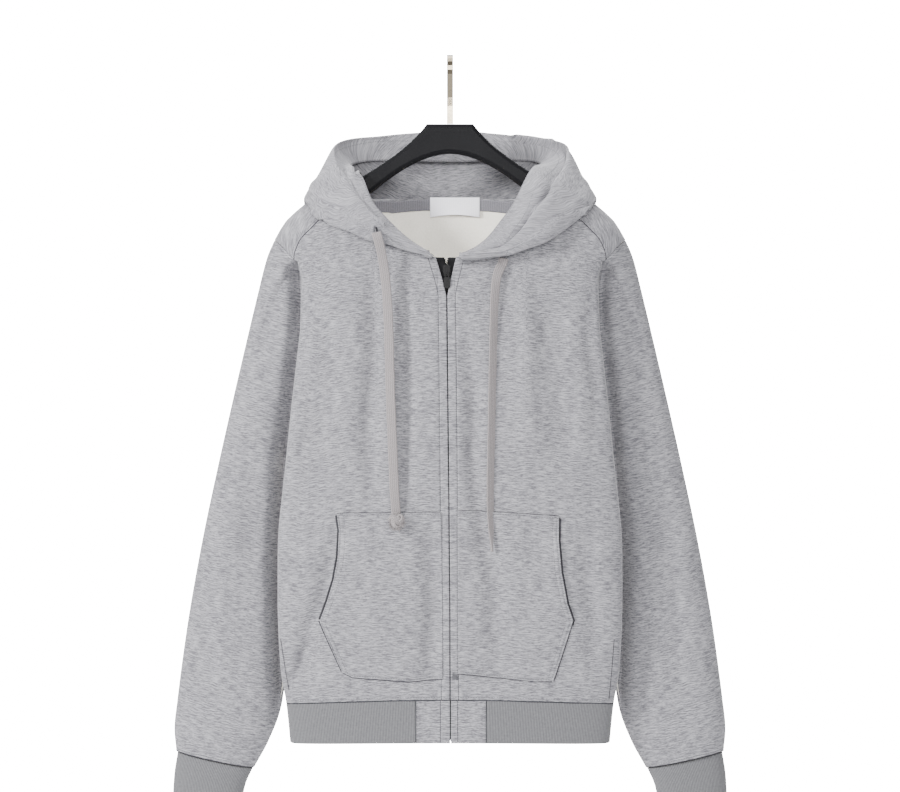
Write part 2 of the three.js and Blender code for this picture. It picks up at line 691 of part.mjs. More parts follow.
/** A flat oval between two edges of a sleeve or cuff, at an angle round it. */
function ovalPoint(outer, inner, half, angle) {
  const middle = new THREE.Vector3().addVectors(outer, inner).multiplyScalar(0.5);
  const reach = new THREE.Vector3().subVectors(outer, inner).multiplyScalar(0.5);
  const wide = Math.sign(Math.cos(angle)) * Math.abs(Math.cos(angle)) ** OVAL_WIDE_POWER;
  const deep = Math.sign(Math.sin(angle)) * Math.abs(Math.sin(angle)) ** OVAL_DEEP_POWER;
  return middle.addScaledVector(reach, wide).add(new THREE.Vector3(0, -half * deep, 0));
}

/** Outer points of one sleeve: rings from the armhole to the cuff. */
function sleeveGrid(side) {
  const loop = armholeLoop(side);
  const angles = loopAngles(loop);
  const outerEdge = curveThrough(SLEEVE_OUTER);
  const innerEdge = curveThrough(SLEEVE_INNER);
  return loop.map((start, index) => {
    const column = [];
    for (let row = 0; row <= SLEEVE_ROWS; row += 1) {
      const along = row / SLEEVE_ROWS;
      const outer = outerEdge.getPointAt(along);
      const inner = innerEdge.getPointAt(along);
      let half = lookUp(SLEEVE_DEPTHS, "half", along);
      for (const roll of SLEEVE_ROLLS) {
        half += roll.height * Math.exp(-(((along - roll.at) / roll.breadth) ** 2));
      }
      const oval = ovalPoint(outer, inner, half, angles[index]);
      oval.x *= side;
      const blend = Math.max(0, 1 - along / SLEEVE_BLEND) ** 2;
      const drift = outer.clone().add(inner).multiplyScalar(0.5);
      drift.sub(outerEdge.getPointAt(0).add(innerEdge.getPointAt(0)).multiplyScalar(0.5));
      drift.x *= side;
      const held = start.clone().add(drift);
      held.x += side * ARMHOLE_EASE;
      held.y *= ARMHOLE_TUCK;
      column.push(oval.lerp(held, blend));
    }
    return column;
  });
}

/** Outer points of one cuff. */
function cuffGrid(side) {
  const outerEdge = curveThrough(CUFF_OUTER);
  const innerEdge = curveThrough(CUFF_INNER);
  const grid = [];
  for (let i = 0; i < CUFF_POINTS; i += 1) {
    const angle = (2 * Math.PI * i) / CUFF_POINTS - Math.PI;
    const column = [];
    for (let row = 0; row <= CUFF_ROWS; row += 1) {
      const along = row / CUFF_ROWS;
      const half = CUFF_HALF - CUFF_NARROWS * along;
      const point = ovalPoint(outerEdge.getPointAt(along), innerEdge.getPointAt(along), half, angle);
      point.x *= side;
      column.push(point);
    }
    grid.push(column);
  }
  return grid;
}

for (const [name, side] of [
  ["left", -1],
  ["right", 1],
]) {
  add(`sleeve_${name}`, wall(sleeveGrid(side), CLOTH, { closed: true, sign: -side }), MARL);
  add(`cuff_${name}`, wall(cuffGrid(side), RIB_CLOTH, { closed: true, sign: -side }), RIB);
}

// Hem band: the body's own section carried down from the hem seam
function hemPoint(side, share, row, front) {
  const foot = HEM_SEAM_Z - HEM_SIDE_DROP * Math.min(share, 1) ** 2 - SEAM_GAP;
  const drop = (HEM_END_Z - HEM_SEAM_Z) * (row / HEM_ROWS);
  return bodyPoint(side, share, foot + drop, front);
}

/** A front stretch of the hem between two distances from the middle, on one side. */
function tabGrid(side, inner, outer) {
  const columns = [];
  const steps = 3;
  for (let i = 0; i <= steps; i += 1) {
    const x = THREE.MathUtils.lerp(inner, outer, i / steps);
    const column = [];
    for (let row = 0; row <= HEM_ROWS; row += 1) {
      const half = lookUp(BODY, "half", HEM_SEAM_Z);
      const point = hemPoint(side, Math.abs(x) / half, row, true);
      point.x = x;
      column.push(point);
    }
    columns.push(column);
  }
  return columns;
}

/** The rib band from one tab round the back to the other. */
function ribGrid() {
  const columns = [];
  const half = lookUp(BODY, "half", HEM_SEAM_Z);
  const shares = [0.3, 0.42, 0.54, 0.66, 0.78, 0.88, 0.95, 1, 1.1, 1.2];
  const backShares = [0.94, 0.86, 0.74, 0.6, 0.45, 0.3, 0.15];
  const frontColumn = (side, share) => {
    const column = [];
    for (let row = 0; row <= HEM_ROWS; row += 1) column.push(hemPoint(side, share, row, true));
    return column;
  };
  const backColumn = (side, share) => {
    const column = [];
    for (let row = 0; row <= HEM_ROWS; row += 1) column.push(hemPoint(side, share, row, false));
    return column;
  };
  const beside = (side, x) =>
    frontColumn(side, Math.abs(x) / half).map((point) => new THREE.Vector3(x, point.y, point.z));
  columns.push(beside(-1, TAB_LEFT.outer - SEAM_GAP));
  for (const share of shares) columns.push(frontColumn(-1, share));
  for (const share of backShares) columns.push(backColumn(-1, share));
  columns.push(backColumn(1, 0));
  for (const share of [...backShares].reverse()) columns.push(backColumn(1, share));
  for (const share of [...shares].reverse()) columns.push(frontColumn(1, share));
  columns.push(beside(1, TAB_RIGHT.outer + SEAM_GAP));
  return columns;
}
add("hem_rib", wall(ribGrid(), RIB_CLOTH), RIB);
add("hem_tab_left", wall(tabGrid(-1, TAB_LEFT.inner, TAB_LEFT.outer), CLOTH), MARL);
add("hem_tab_right", wall(tabGrid(1, TAB_RIGHT.inner, TAB_RIGHT.outer), CLOTH, { sign: -1 }), MARL);

// Hood
/** Places along the neckline, from the front middle to the shoulder seam and on to the back middle. */
function neckPlaces() {
  const bend = 2 / BACK_NECK_POWER;
  const last = shoulderStart(NECK_FRACTION) + RIDGE_RADIUS * (Math.PI - seamAngle(NECK_FRACTION));
  const turns = [0, ...stepsBetween(0, Math.PI / 2, NECK_PLACES)];
  const ahead = turns.map((angle) => {
    const share = NECK_FRACTION * Math.sin(angle);
    return { share, path: frontEnd(share), front: true };
  });
  const behind = turns.map((angle) => {
    const path = THREE.MathUtils.lerp(last, NECK_BACK_Z, Math.sin(angle) ** bend);
    return { share: NECK_FRACTION * Math.max(0, Math.cos(angle)) ** bend, path, front: false };
  });
  let length = 0;
  let before = null;
  for (const place of [...ahead, ...behind]) {
    const point = bodyPoint(1, place.share, place.path, place.front);
    if (before) length += point.distanceTo(before);
    place.at = length;
    before = point;
  }
  for (const place of [...ahead, ...behind]) place.at /= length;
  return { ahead, behind };
}
const NECKLINE = neckPlaces();

/** A point of the neckline, or below it: turn is 0 at the front middle and 1 at the back middle. */
function neckPoint(side, turn, drop) {
  const front = turn <= NECKLINE.behind[0].at;
  const places = front ? NECKLINE.ahead : NECKLINE.behind;
  const path = lookUp(places, "path", turn) - drop;
  return bodyPoint(side, lookUp(places, "share", turn), path, front);
}

/** The path of one hood section: foot, under side, lower fold, outer side, edge, turned-in band. */
function hoodSection({ side, turn, drop, lowerFold, topEdge, end }) {
  const foot = neckPoint(side, turn, drop);
  const lift = Math.min(1, drop / NECK_LIFT);
  foot.y -= lift * (HOOD_CLOTH + NECK_GAP) + (foot.y < 0 ? (1 - lift) * NECK_LIFT : 0);
  foot.z += (1 - lift) * NECK_LIFT;
  const scale = Math.min(1, foot.distanceTo(lowerFold) / FOLD_REACH);
  const outward = lowerFold.clone().sub(foot.clone().add(topEdge).multiplyScalar(0.5)).normalize();
  const across = topEdge.clone().sub(foot);
  across.addScaledVector(outward, -across.dot(outward)).normalize();
  const under = lowerFold.clone().addScaledVector(outward, -FOLD_ROUND * scale);
  const over = under.clone();
  under.addScaledVector(across, -FOLD_ROUND * scale);
  over.addScaledVector(across, FOLD_ROUND * scale);
  const middleUnder = foot.clone().lerp(under, 0.5).addScaledVector(across, UNDER_BELLY * scale);
  const belly = over.clone().lerp(topEdge, 0.5).addScaledVector(outward, HOOD_BELLY * scale);
  const rise = topEdge.clone().sub(over).normalize();
  const inward = end.clone().sub(topEdge);
  inward.addScaledVector(rise, -inward.dot(rise)).normalize();
  const edgeScale = Math.min(1, end.distanceTo(topEdge) / EDGE_REACH);
  const before = topEdge.clone().addScaledVector(rise, -EDGE_ROUND * edgeScale);
  const after = before.clone().addScaledVector(inward, EDGE_WIDE * edgeScale);
  const crest = topEdge.clone().addScaledVector(inward, (EDGE_WIDE / 2) * edgeScale);
  return scale < SMALL_SECTION
    ? [foot, foot.clone().lerp(lowerFold, 0.5), lowerFold, lowerFold.clone().lerp(topEdge, 0.5), topEdge, end]
    : [foot, middleUnder, under, lowerFold, over, belly, before, crest, after, end];
}

/** Height of the shoulder's outer face at a place, seen from above. */
function shoulderTop(x, y) {
  const ridge = lookUp(SHOULDER_LINE, "z", Math.abs(x));
  const share = Math.min(Math.abs(x) / (SHOULDER_HALF + SHOULDER_TIP), 1);
  const deepest = bodyPoint(1, share, shoulderStart(share), y < 0).y;
  const off = Math.min(Math.abs(y / deepest), 1);
  return ridge - RIDGE_RADIUS * (1 - Math.sqrt(1 - off * off));
}

/** Depth of the body's outer face at a place, seen from the front or the back. */
function bodyDepth(x, z, front) {
  const below = THREE.MathUtils.clamp((lookUp(SHOULDER_LINE, "z", Math.abs(x)) - z) / RIDGE_RADIUS, 0, 1);
  const half = lookUp(BODY, "half", z) + SHOULDER_TIP * (1 - below) ** TIP_POWER;
  const share = Math.min(Math.abs(x) / half, 1);
  const lean = Math.sqrt(1 - (1 - below) ** 2);
  return Math.abs(bodyPoint(1, share, Math.min(z, shoulderStart(share)), front).y) * lean;
}

/** How far a point stands over the body's cloth: one at the neckline or outside it, none well within. */
function overCloth(point) {
  const front = point.y < 0;
  const ridge = shoulderTop(point.x, 0);
  const below = THREE.MathUtils.clamp((ridge - point.z) / RIDGE_RADIUS, 0, 1);
  const half = SHOULDER_HALF + SHOULDER_TIP * (1 - below) ** TIP_POWER;
  const share = Math.abs(point.x) / half;
  const inside = (NECK_FRACTION - share) * half;
  const above = point.z - (front ? frontEnd(Math.min(share, NECK_FRACTION - 0.001)) : NECK_BACK_Z);
  return 1 - THREE.MathUtils.clamp((Math.min(inside, above) - NECK_HOLD) / NECK_FADE, 0, 1);
}

/** Move a point of the hood off the body where it would touch; layer runs 0 below the fold to 1 above. */
function clearOfBody(point, layer) {
  const clear = HOOD_CLEAR + layer * (2 * HOOD_CLOTH + HOOD_CLEAR);
  const offset = THREE.MathUtils.lerp(-RIDGE_RADIUS, clear, overCloth(point));
  const top = shoulderTop(point.x, point.y) + offset;
  const depth = bodyDepth(point.x, point.z, point.y < 0) + offset;
  const up = top - point.z;
  const out = depth - Math.abs(point.y);
  if (up <= 0 || out <= 0) return;
  if (up < out) point.z = top;
  else point.y = Math.sign(point.y) * depth;
}

/** The hood's sections, with those worked out that lie between the table's. */
function hoodSections() {
  const line = (key) =>
    new THREE.CatmullRomCurve3(
      HOOD.map(({ side, [key]: [x, y, z] }) => new THREE.Vector3(side * x, y, z)),
      false,
      "centripetal",
    );
  const folds = line("fold");
  const edges = line("edge");
  const rims = line("rim");
  const rounds = HOOD.map(({ side, turn, drop }, at) => ({ at, round: side < 0 ? turn : 2 - turn, drop }));
  const count = (HOOD.length - 1) * HOOD_STEPS;
  return Array.from({ length: count + 1 }, (_, i) => {
    const at = i / HOOD_STEPS;
    const share = i / count;
    const round = lookUp(rounds, "round", at);
    return hoodSection({
      side: round < 1 ? -1 : 1,
      turn: round < 1 ? round : 2 - round,
      drop: lookUp(rounds, "drop", at),
      lowerFold: folds.getPoint(share),
      topEdge: edges.getPoint(share),
      end: rims.getPoint(share),
    });
  });
}

/** Outer points of the hood, evenly counted along every section. */
function hoodGrid() {
  return hoodSections().map((section) => {
    const curve = new THREE.CatmullRomCurve3(section, false, "centripetal");
    const points = [];
    for (let row = 0; row <= HOOD_ROWS; row += 1) {
      const share = row / HOOD_ROWS;
      const point = curve.getPoint(share);
      if (row > 0) clearOfBody(point, THREE.MathUtils.smoothstep(share, UNDER_END, OVER_START));
      points.push(point);
    }
    return points;
  });
}
add("hood", wall(hoodGrid(), HOOD_CLOTH, { sign: -1 }), MARL);

// Neck tape and label, on the inside of the back
/** A point inside the back neck, a distance in from the back's outer face. */
function insideBack(x, z, depth) {
  const half = SHOULDER_HALF;
  const share = Math.min(Math.abs(x) / half, 0.99);
  const point = bodyPoint(Math.sign(x) || 1, share, z, false);
  return new THREE.Vector3(x, point.y - depth, z);
}

function neckTapeGrid() {
  const grid = [];
  const steps = 12;
  for (let i = 0; i <= steps; i += 1) {
    const x = THREE.MathUtils.lerp(-TAPE_HALF, TAPE_HALF, i / steps);
    const share = Math.min(Math.abs(x), TAPE_LEVEL) / SHOULDER_HALF;
    const top = neckPoint(Math.sign(x) || 1, 1 - Math.asin(share / NECK_FRACTION) / Math.PI, 0).z - 1;
    grid.push([0, 0.5, 1].map((row) => insideBack(x, top - TAPE_HEIGHT * row, CLOTH + TAPE_CLEAR)));
  }
  return grid;
}
add("neck_tape", wall(neckTapeGrid(), TAPE_THICK), TAPE_GREY);

/** The label: flat at the top and bowed off the tape towards its foot. */
function labelGrid() {
  const grid = [];
  const steps = 8;
  const rows = 4;
  for (let i = 0; i <= steps; i += 1) {
    const across = i / steps;
    const x = THREE.MathUtils.lerp(LABEL.left, LABEL.right, across);
    const column = [];
    for (let row = 0; row <= rows; row += 1) {
      const down = row / rows;
      const bow = LABEL.bow * Math.sin(Math.PI * across) * down ** 2;
      const z = LABEL.top - LABEL.height * down;
      const point = insideBack(x, z, CLOTH + TAPE_THICK + TAPE_CLEAR + SEAM_GAP);
      point.y -= bow;
      column.push(point);
    }
    grid.push(column);
  }
  return grid;
}
add("neck_label", wall(labelGrid(), LABEL.thick), LABEL_WHITE, 0.6);

// Zip tapes, behind the front edges
/** One zip tape: a strip from the zip's middle outwards, just inside the cloth. */
function zipTapeGrid(side) {
  const grid = [];
  for (const across of [0, 0.3, 1]) {
    const column = [];
    for (let row = 0; row <= ZIP_ROWS; row += 1) {
      const z = THREE.MathUtils.lerp(ZIP_END_Z, ZIP_TOP_Z, (row / ZIP_ROWS) ** 0.85);
      const spread = Math.max(0, z - SLIDER.top) * ZIP_SPREAD;
      const inner = lookUp(ZIP_LINE, "middle", z) + side * (TAPE_APART + spread);
      const x = inner + side * across * TAPE_BREADTH;
      const share = (across * TAPE_BREADTH) / lookUp(BODY, "half", z);
      column.push(new THREE.Vector3(x, bodyPoint(side, share, z, true).y + CLOTH + TAPE_CLEAR, z));
    }
    grid.push(column);
  }
  return grid;
}
add("zip_tape_left", wall(zipTapeGrid(-1), TAPE_THICK, { sign: -1 }), BLACK, 0.7);
add("zip_tape_right", wall(zipTapeGrid(1), TAPE_THICK), BLACK, 0.7);

// Zip slider: a tapered body with a bridge that holds the pull
const sliderBackY = -(lookUp(BODY, "front", SLIDER.top - SLIDER.long) - CLOTH - SEAM_GAP * 2) - SEAM_GAP;
const sliderFaceY = sliderBackY - SLIDER.thick;
const bridgeTop = SLIDER.top - 2.2;
const bridgeFoot = SLIDER.top - SLIDER.long + 2.2;
const hingeZ = bridgeFoot + BRIDGE.bar + PULL.bar / 2 + SEAM_GAP;
const hingeY = sliderFaceY - SEAM_GAP - PULL.thick / 2;

function sliderBody() {
  const halfTop = SLIDER.wide / 2;
  const halfFoot = SLIDER.neck / 2;
  const foot = SLIDER.top - SLIDER.long;
  const outline = [
    [SLIDER.x - halfFoot, foot],
    [SLIDER.x + halfFoot, foot],
    [SLIDER.x + halfTop, foot + SLIDER.waist],
    [SLIDER.x + halfTop, SLIDER.top - 2],
    [SLIDER.x + SLIDER.crown / 2, SLIDER.top],
    [SLIDER.x - SLIDER.crown / 2, SLIDER.top],
    [SLIDER.x - halfTop, SLIDER.top - 2],
    [SLIDER.x - halfTop, foot + SLIDER.waist],
  ];
  const body = toSolid(frontPrism(outline, sliderFaceY, sliderBackY));
  const left = SLIDER.x - BRIDGE.wide / 2;
  const right = SLIDER.x + BRIDGE.wide / 2;
  const tip = sliderFaceY - BRIDGE.high;
  const sunk = sliderFaceY + 0.5;
  const bar = box([left, tip, bridgeFoot], [right, tip + BRIDGE.bar, bridgeTop]);
  const upperLeg = box([left, tip, bridgeTop - BRIDGE.bar], [right, sunk, bridgeTop]);
  const lowerLeg = box([left, tip, bridgeFoot], [right, sunk, bridgeFoot + BRIDGE.bar]);
  return toGeometry(body.add(toSolid(bar)).add(toSolid(upperLeg)).add(toSolid(lowerLeg)));
}
add("zip_slider", sliderBody(), BLACK, 0.35, 0.8);

/** The pull: a plate with a window round the bridge's foot, hung by the bar above it. */
function pullTab() {
  const half = PULL.wide / 2;
  const top = PULL.bar / 2;
  const foot = top - PULL.long;
  const shape = new THREE.Shape();
  shape.moveTo(-PULL.neck / 2, top);
  shape.lineTo(PULL.neck / 2, top);
  shape.lineTo(PULL.neck / 2, top - PULL.shoulder);
  shape.lineTo(half, top - 9);
  shape.lineTo(half, foot + 2);
  shape.lineTo(half - 2, foot);
  shape.lineTo(-half + 2, foot);
  shape.lineTo(-half, foot + 2);
  shape.lineTo(-half, top - 9);
  shape.lineTo(-PULL.neck / 2, top - PULL.shoulder);
  shape.closePath();
  const window = new THREE.Path();
  const side = PULL.hole / 2;
  const windowTop = -PULL.bar / 2;
  window.moveTo(-side, windowTop);
  window.lineTo(-side, windowTop - PULL.window);
  window.lineTo(side, windowTop - PULL.window);
  window.lineTo(side, windowTop);
  window.closePath();
  shape.holes.push(window);
  const plate = new THREE.ExtrudeGeometry(shape, { depth: PULL.thick, bevelEnabled: false });
  plate.rotateX(Math.PI / 2);
  plate.translate(0, PULL.thick / 2, 0);
  return plate;
}
const pull = add("zip_pull", pullTab(), BLACK, 0.35, 0.8);
pull.position.set(SLIDER.x + 0.4, hingeY, hingeZ);

// Hanger: a flat plate with bevelled edges, its arms under the shoulder seams
function hangerBody() {
  const crown = { half: 30, z: -87.7 };
  const armTop = (x) => {
    const fall = Math.max(0, x - HANGER_FALL_START) * HANGER_FALL;
    return lookUp(SHOULDER_LINE, "z", x) - CLOTH - HANGER_CLEAR - fall;
  };
  const slope = new THREE.QuadraticBezierCurve(
    new THREE.Vector2(crown.half, crown.z),
    new THREE.Vector2(54, -121),
    new THREE.Vector2(112, armTop(112)),
  );
  const arch = new THREE.QuadraticBezierCurve(
    new THREE.Vector2(0, -125.8),
    new THREE.Vector2(42, -126),
    new THREE.Vector2(101, -176.5),
  );
  const right = slope.getPoints(8);
  for (const x of [135, 160, 180, 194]) right.push(new THREE.Vector2(x, armTop(x)));
  right.push(new THREE.Vector2(HANGER_TIP_X, armTop(HANGER_TIP_X) - 5));
  right.push(new THREE.Vector2(HANGER_TIP_X - 1, armTop(HANGER_TIP_X) - HANGER_ARM * 0.7));
  right.push(new THREE.Vector2(188, armTop(188) - HANGER_ARM));
  right.push(new THREE.Vector2(145, armTop(145) - HANGER_ARM));
  right.push(...arch.getPoints(8).reverse());
  const left = right.slice(0, -1).map((point) => new THREE.Vector2(-point.x, point.y));
  const outline = [...right, ...left.reverse()];
  const inset = HANGER_BEVEL;
  const bevelled = new THREE.ExtrudeGeometry(new THREE.Shape(outline), {
    depth: HANGER_THICK - 2 * inset,
    bevelEnabled: true,
    bevelThickness: inset,
    bevelSize: inset,
    bevelOffset: -inset,
    bevelSegments: 2,
  });
  bevelled.rotateX(Math.PI / 2);
  bevelled.translate(0, HANGER_THICK / 2 - inset, 0);
  return bevelled;
}
add("hanger_body", hangerBody(), HANGER_BLACK, 0.55);

/** The hook: a flat strip bent in the plane across the rail. */
function hookStrip() {
  const middleRadius = HOOK.radius + HOOK.thick / 2;
  const centre = new THREE.Vector2(0, -HOOK.radius);
  const line = [];
  const steps = 14;
  const first = Math.PI * (HOOK.mouth / 180);
  for (let i = 0; i <= steps; i += 1) {
    const angle = THREE.MathUtils.lerp(-first, Math.PI + first * 0.9, i / steps);
    line.push(new THREE.Vector2(
      centre.x + middleRadius * Math.cos(angle),
      centre.y + middleRadius * Math.sin(angle),
    ));
  }
  line.push(new THREE.Vector2(-6, -44), new THREE.Vector2(-1.6, -53), new THREE.Vector2(0, -64));
  line.push(new THREE.Vector2(0, HOOK.stem));
  const near = [];
  const far = [];
  line.forEach((point, i) => {
    const next = line[Math.min(line.length - 1, i + 1)];
    const last = line[Math.max(0, i - 1)];
    const across = new THREE.Vector2(-(next.y - last.y), next.x - last.x).normalize();
    near.push(point.clone().addScaledVector(across, HOOK.thick / 2));
    far.push(point.clone().addScaledVector(across, -HOOK.thick / 2));
  });
  const shape = new THREE.Shape([...near, ...far.reverse()]);
  const strip = new THREE.ExtrudeGeometry(shape, { depth: HOOK.wide, bevelEnabled: false });
  strip.applyMatrix4(new THREE.Matrix4().set(0, 0, 1, -HOOK.wide / 2, 1, 0, 0, 0, 0, 1, 0, 0, 0, 0, 0, 1));
  return strip;
}
add("hanger_hook", hookStrip(), NICKEL, 0.25, 0.9);

// Draw cords
function cordSolid(route) {
  const section = new THREE.Shape();
  const sides = 8;
  for (let i = 0; i < sides; i += 1) {
    const angle = (2 * Math.PI * (i + 0.5)) / sides;
    const x = (CORD_WIDE / 2) * Math.sign(Math.cos(angle)) * Math.abs(Math.cos(angle)) ** 0.6;
    const y = (CORD_THICK / 2) * Math.sin(angle);
    if (i === 0) section.moveTo(x, y);
    else section.lineTo(x, y);
  }
  section.closePath();
  const settings = { steps: CORD_STEPS, bevelEnabled: false, extrudePath: curveThrough(route) };
  return new THREE.ExtrudeGeometry(section, settings);
}
add("drawcord_left", cordSolid(CORD_LEFT), CORD_GREY);
add("drawcord_right", cordSolid(CORD_RIGHT), CORD_GREY);
const knot = new THREE.SphereGeometry(1, 12, 8);
knot.scale(KNOT.wide, KNOT.thick, KNOT.high);
add("drawcord_knot", knot, CORD_GREY).position.set(KNOT.x, KNOT.y, KNOT.z);

export default part;
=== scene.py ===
"""Zip up hoodie on its hanger: fine cloth, seams, zip, cords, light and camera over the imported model.

Lengths in the tables are millimetres, in the frame of the model: +Z up, the front facing -Y.
"""

import logging
import math
from collections.abc import Sequence
from dataclasses import dataclass, field
from enum import Enum

import bmesh
import bpy
import numpy as np
from numpy.typing import NDArray
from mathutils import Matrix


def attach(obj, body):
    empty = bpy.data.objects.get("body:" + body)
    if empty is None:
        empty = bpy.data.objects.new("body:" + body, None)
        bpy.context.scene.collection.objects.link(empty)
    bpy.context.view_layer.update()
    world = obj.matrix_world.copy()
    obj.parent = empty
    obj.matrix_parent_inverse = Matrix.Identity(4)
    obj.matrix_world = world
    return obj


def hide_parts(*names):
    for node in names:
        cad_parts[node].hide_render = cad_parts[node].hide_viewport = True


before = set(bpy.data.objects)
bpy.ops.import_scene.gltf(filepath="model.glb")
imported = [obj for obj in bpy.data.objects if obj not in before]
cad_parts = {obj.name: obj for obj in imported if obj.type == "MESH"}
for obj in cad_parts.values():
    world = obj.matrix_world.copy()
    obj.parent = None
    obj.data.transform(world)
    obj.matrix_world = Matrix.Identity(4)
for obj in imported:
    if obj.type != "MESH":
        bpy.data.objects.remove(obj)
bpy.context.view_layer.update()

Points = NDArray[np.float64]
LOG = logging.getLogger("hoodie")
MM = 0.001
CURVE_STEPS = 400
TO_FRONT = np.array([0.0, -1.0, 0.0])


class Side(Enum):
    """The viewer's left and right."""

    LEFT = -1
    RIGHT = 1

    @property
    def word(self) -> str:
        """The side's name as the pieces use it."""
        return self.name.lower()


# Camera and cords


@dataclass(frozen=True)
class Camera:
    """A level camera in front of the hoodie, in metres."""

    place: tuple[float, float, float] = (0.0, -2.65, -0.4394)
    lens: float = 81.9

    def build(self) -> None:
        """Make the camera and hand it to the scene."""
        data = bpy.data.cameras.new("camera")
        data.lens = self.lens
        data.sensor_width = 36.0
        data.clip_end = 100.0
        camera = bpy.data.objects.new("camera", data)
        camera.location = self.place
        camera.rotation_euler = (math.radians(90), 0, 0)
        bpy.context.scene.collection.objects.link(camera)
        bpy.context.scene.camera = camera


@dataclass(frozen=True)
class CordRoute:
    """A flat draw cord's way down the front, in metres.

    points: the middle of the cord, from where it leaves the hood to its end.
    twist: turns of the flat cord about its own length, as (share of length, degrees).
    taper: share of the length over which the cord narrows to a point at its end.
    """

    points: tuple[tuple[float, float, float], ...]
    twist: tuple[tuple[float, float], ...]
    taper: float
    length: float
    end: str


CORD_LEFT = CordRoute(
    points=(
        (-0.093, -0.071, -0.2335),
        (-0.091, -0.0735, -0.24),
        (-0.0883, -0.0735, -0.25),
        (-0.0858, -0.0716, -0.262),
        (-0.0836, -0.0692, -0.276),
        (-0.0815, -0.0672, -0.292),
        (-0.0798, -0.0663, -0.31),
        (-0.0784, -0.0658, -0.332),
        (-0.0773, -0.0656, -0.36),
        (-0.0764, -0.0658, -0.392),
        (-0.0756, -0.0662, -0.424),
        (-0.0744, -0.0666, -0.458),
        (-0.073, -0.0669, -0.492),
        (-0.0716, -0.067, -0.526),
        (-0.0702, -0.067, -0.558),
        (-0.068, -0.067, -0.588),
    ),
    twist=((0.0, 12.0), (0.12, 0.0), (0.6, -6.0), (1.0, 8.0)),
    taper=0.0,
    length=0.36,
    end="knot",
)
CORD_RIGHT = CordRoute(
    points=(
        (0.0682, -0.0526, -0.2645),
        (0.0664, -0.0536, -0.2715),
        (0.0636, -0.0574, -0.277),
        (0.0606, -0.0595, -0.284),
        (0.0584, -0.0604, -0.294),
        (0.0568, -0.0607, -0.31),
        (0.0556, -0.0611, -0.332),
        (0.0548, -0.0617, -0.362),
        (0.054, -0.0624, -0.396),
        (0.0532, -0.0629, -0.432),
        (0.0526, -0.0636, -0.468),
        (0.0518, -0.0639, -0.504),
        (0.051, -0.0642, -0.54),
        (0.0508, -0.0642, -0.572),
        (0.0516, -0.0642, -0.6),
        (0.053, -0.0642, -0.636),
    ),
    twist=((0.0, -8.0), (0.12, 22.0), (0.25, 34.0), (0.6, 38.0), (0.85, 42.0), (1.0, 62.0)),
    taper=0.09,
    length=0.37,
    end="bare",
)


# Reading tables and curves


def read(table: Sequence[object], column: str, at: Points | float) -> Points:
    """Read a named column of a table, smooth between its rows.

    Args:
        table: rows with a field called at.
        column: the field to read.
        at: the places to read it for.

    Returns:
        The values there.
    """
    rows = sorted(table, key=lambda row: row.at)
    x = np.array([row.at for row in rows], float)
    y = np.array([getattr(row, column) for row in rows], float)
    at = np.clip(np.asarray(at, float), x[0], x[-1])
    gap = np.diff(x)
    slope = np.diff(y) / gap
    tangent = np.zeros_like(y)
    same = slope[:-1] * slope[1:] > 0
    weight_a = 2 * gap[1:] + gap[:-1]
    weight_b = gap[1:] + 2 * gap[:-1]
    safe_a = np.where(same, slope[:-1], 1.0)
    safe_b = np.where(same, slope[1:], 1.0)
    tangent[1:-1] = np.where(same, (weight_a + weight_b) / (weight_a / safe_a + weight_b / safe_b), 0.0)
    tangent[0], tangent[-1] = slope[0], slope[-1]
    i = np.clip(np.searchsorted(x, at, side="right") - 1, 0, len(x) - 2)
    t = (at - x[i]) / gap[i]
    h = gap[i]
    return (
        (2 * t**3 - 3 * t**2 + 1) * y[i]
        + (t**3 - 2 * t**2 + t) * h * tangent[i]
        + (-2 * t**3 + 3 * t**2) * y[i + 1]
        + (t**3 - t**2) * h * tangent[i + 1]
    )


def through(points: Sequence[Sequence[float]] | Points, share: Points | float) -> Points:
    """Points of a smooth curve that passes through some points.

    Args:
        points: the points, shaped (count, size).
        share: places along the curve, from 0 to 1, evenly spread over its spans.

    Returns:
        The curve's points, one per place.
    """
    knots = np.asarray(points, float)
    knots = np.vstack([2 * knots[0] - knots[1], knots, 2 * knots[-1] - knots[-2]])
    at = np.clip(np.atleast_1d(np.asarray(share, float)), 0, 1) * (len(knots) - 3)
    i = np.clip(at.astype(int), 0, len(knots) - 4)
    t = (at - i)[:, None]
    a, b, c, d = knots[i], knots[i + 1], knots[i + 2], knots[i + 3]
    first, middle, last = (
        np.maximum(np.sqrt(np.linalg.norm(q - p, axis=1)), 1e-4)[:, None] for p, q in ((a, b), (b, c), (c, d))
    )
    start = ((b - a) / first - (c - a) / (first + middle) + (c - b) / middle) * middle
    finish = ((c - b) / middle - (d - b) / (middle + last) + (d - c) / last) * middle
    return (
        b
        + start * t
        + (-3 * b + 3 * c - 2 * start - finish) * t**2
        + (2 * b - 2 * c + start + finish) * t**3
    )


def polyline_length(points: Points) -> Points:
    """Length along a line of points, from its start to each of them."""
    return np.concatenate([[0], np.cumsum(np.linalg.norm(np.diff(points, axis=0), axis=1))])


def evenly(points: Sequence[Sequence[float]] | Points, share: Points | float) -> Points:
    """Points of a smooth curve at shares of its length."""
    fine = through(points, np.linspace(0, 1, CURVE_STEPS))
    length = polyline_length(fine)
    at = np.atleast_1d(np.asarray(share, float)) * length[-1]
    return np.stack([np.interp(at, length, fine[:, k]) for k in range(fine.shape[1])], axis=1)


def unit(v: Points) -> Points:
    """A vector, or each of several, at length one."""
    return v / np.maximum(np.linalg.norm(v, axis=-1, keepdims=True), 1e-9)


def flattened(wave: Points, power: float) -> Points:
    """A wave with broader crests, its sign kept."""
    return np.sign(wave) * np.abs(wave) ** power


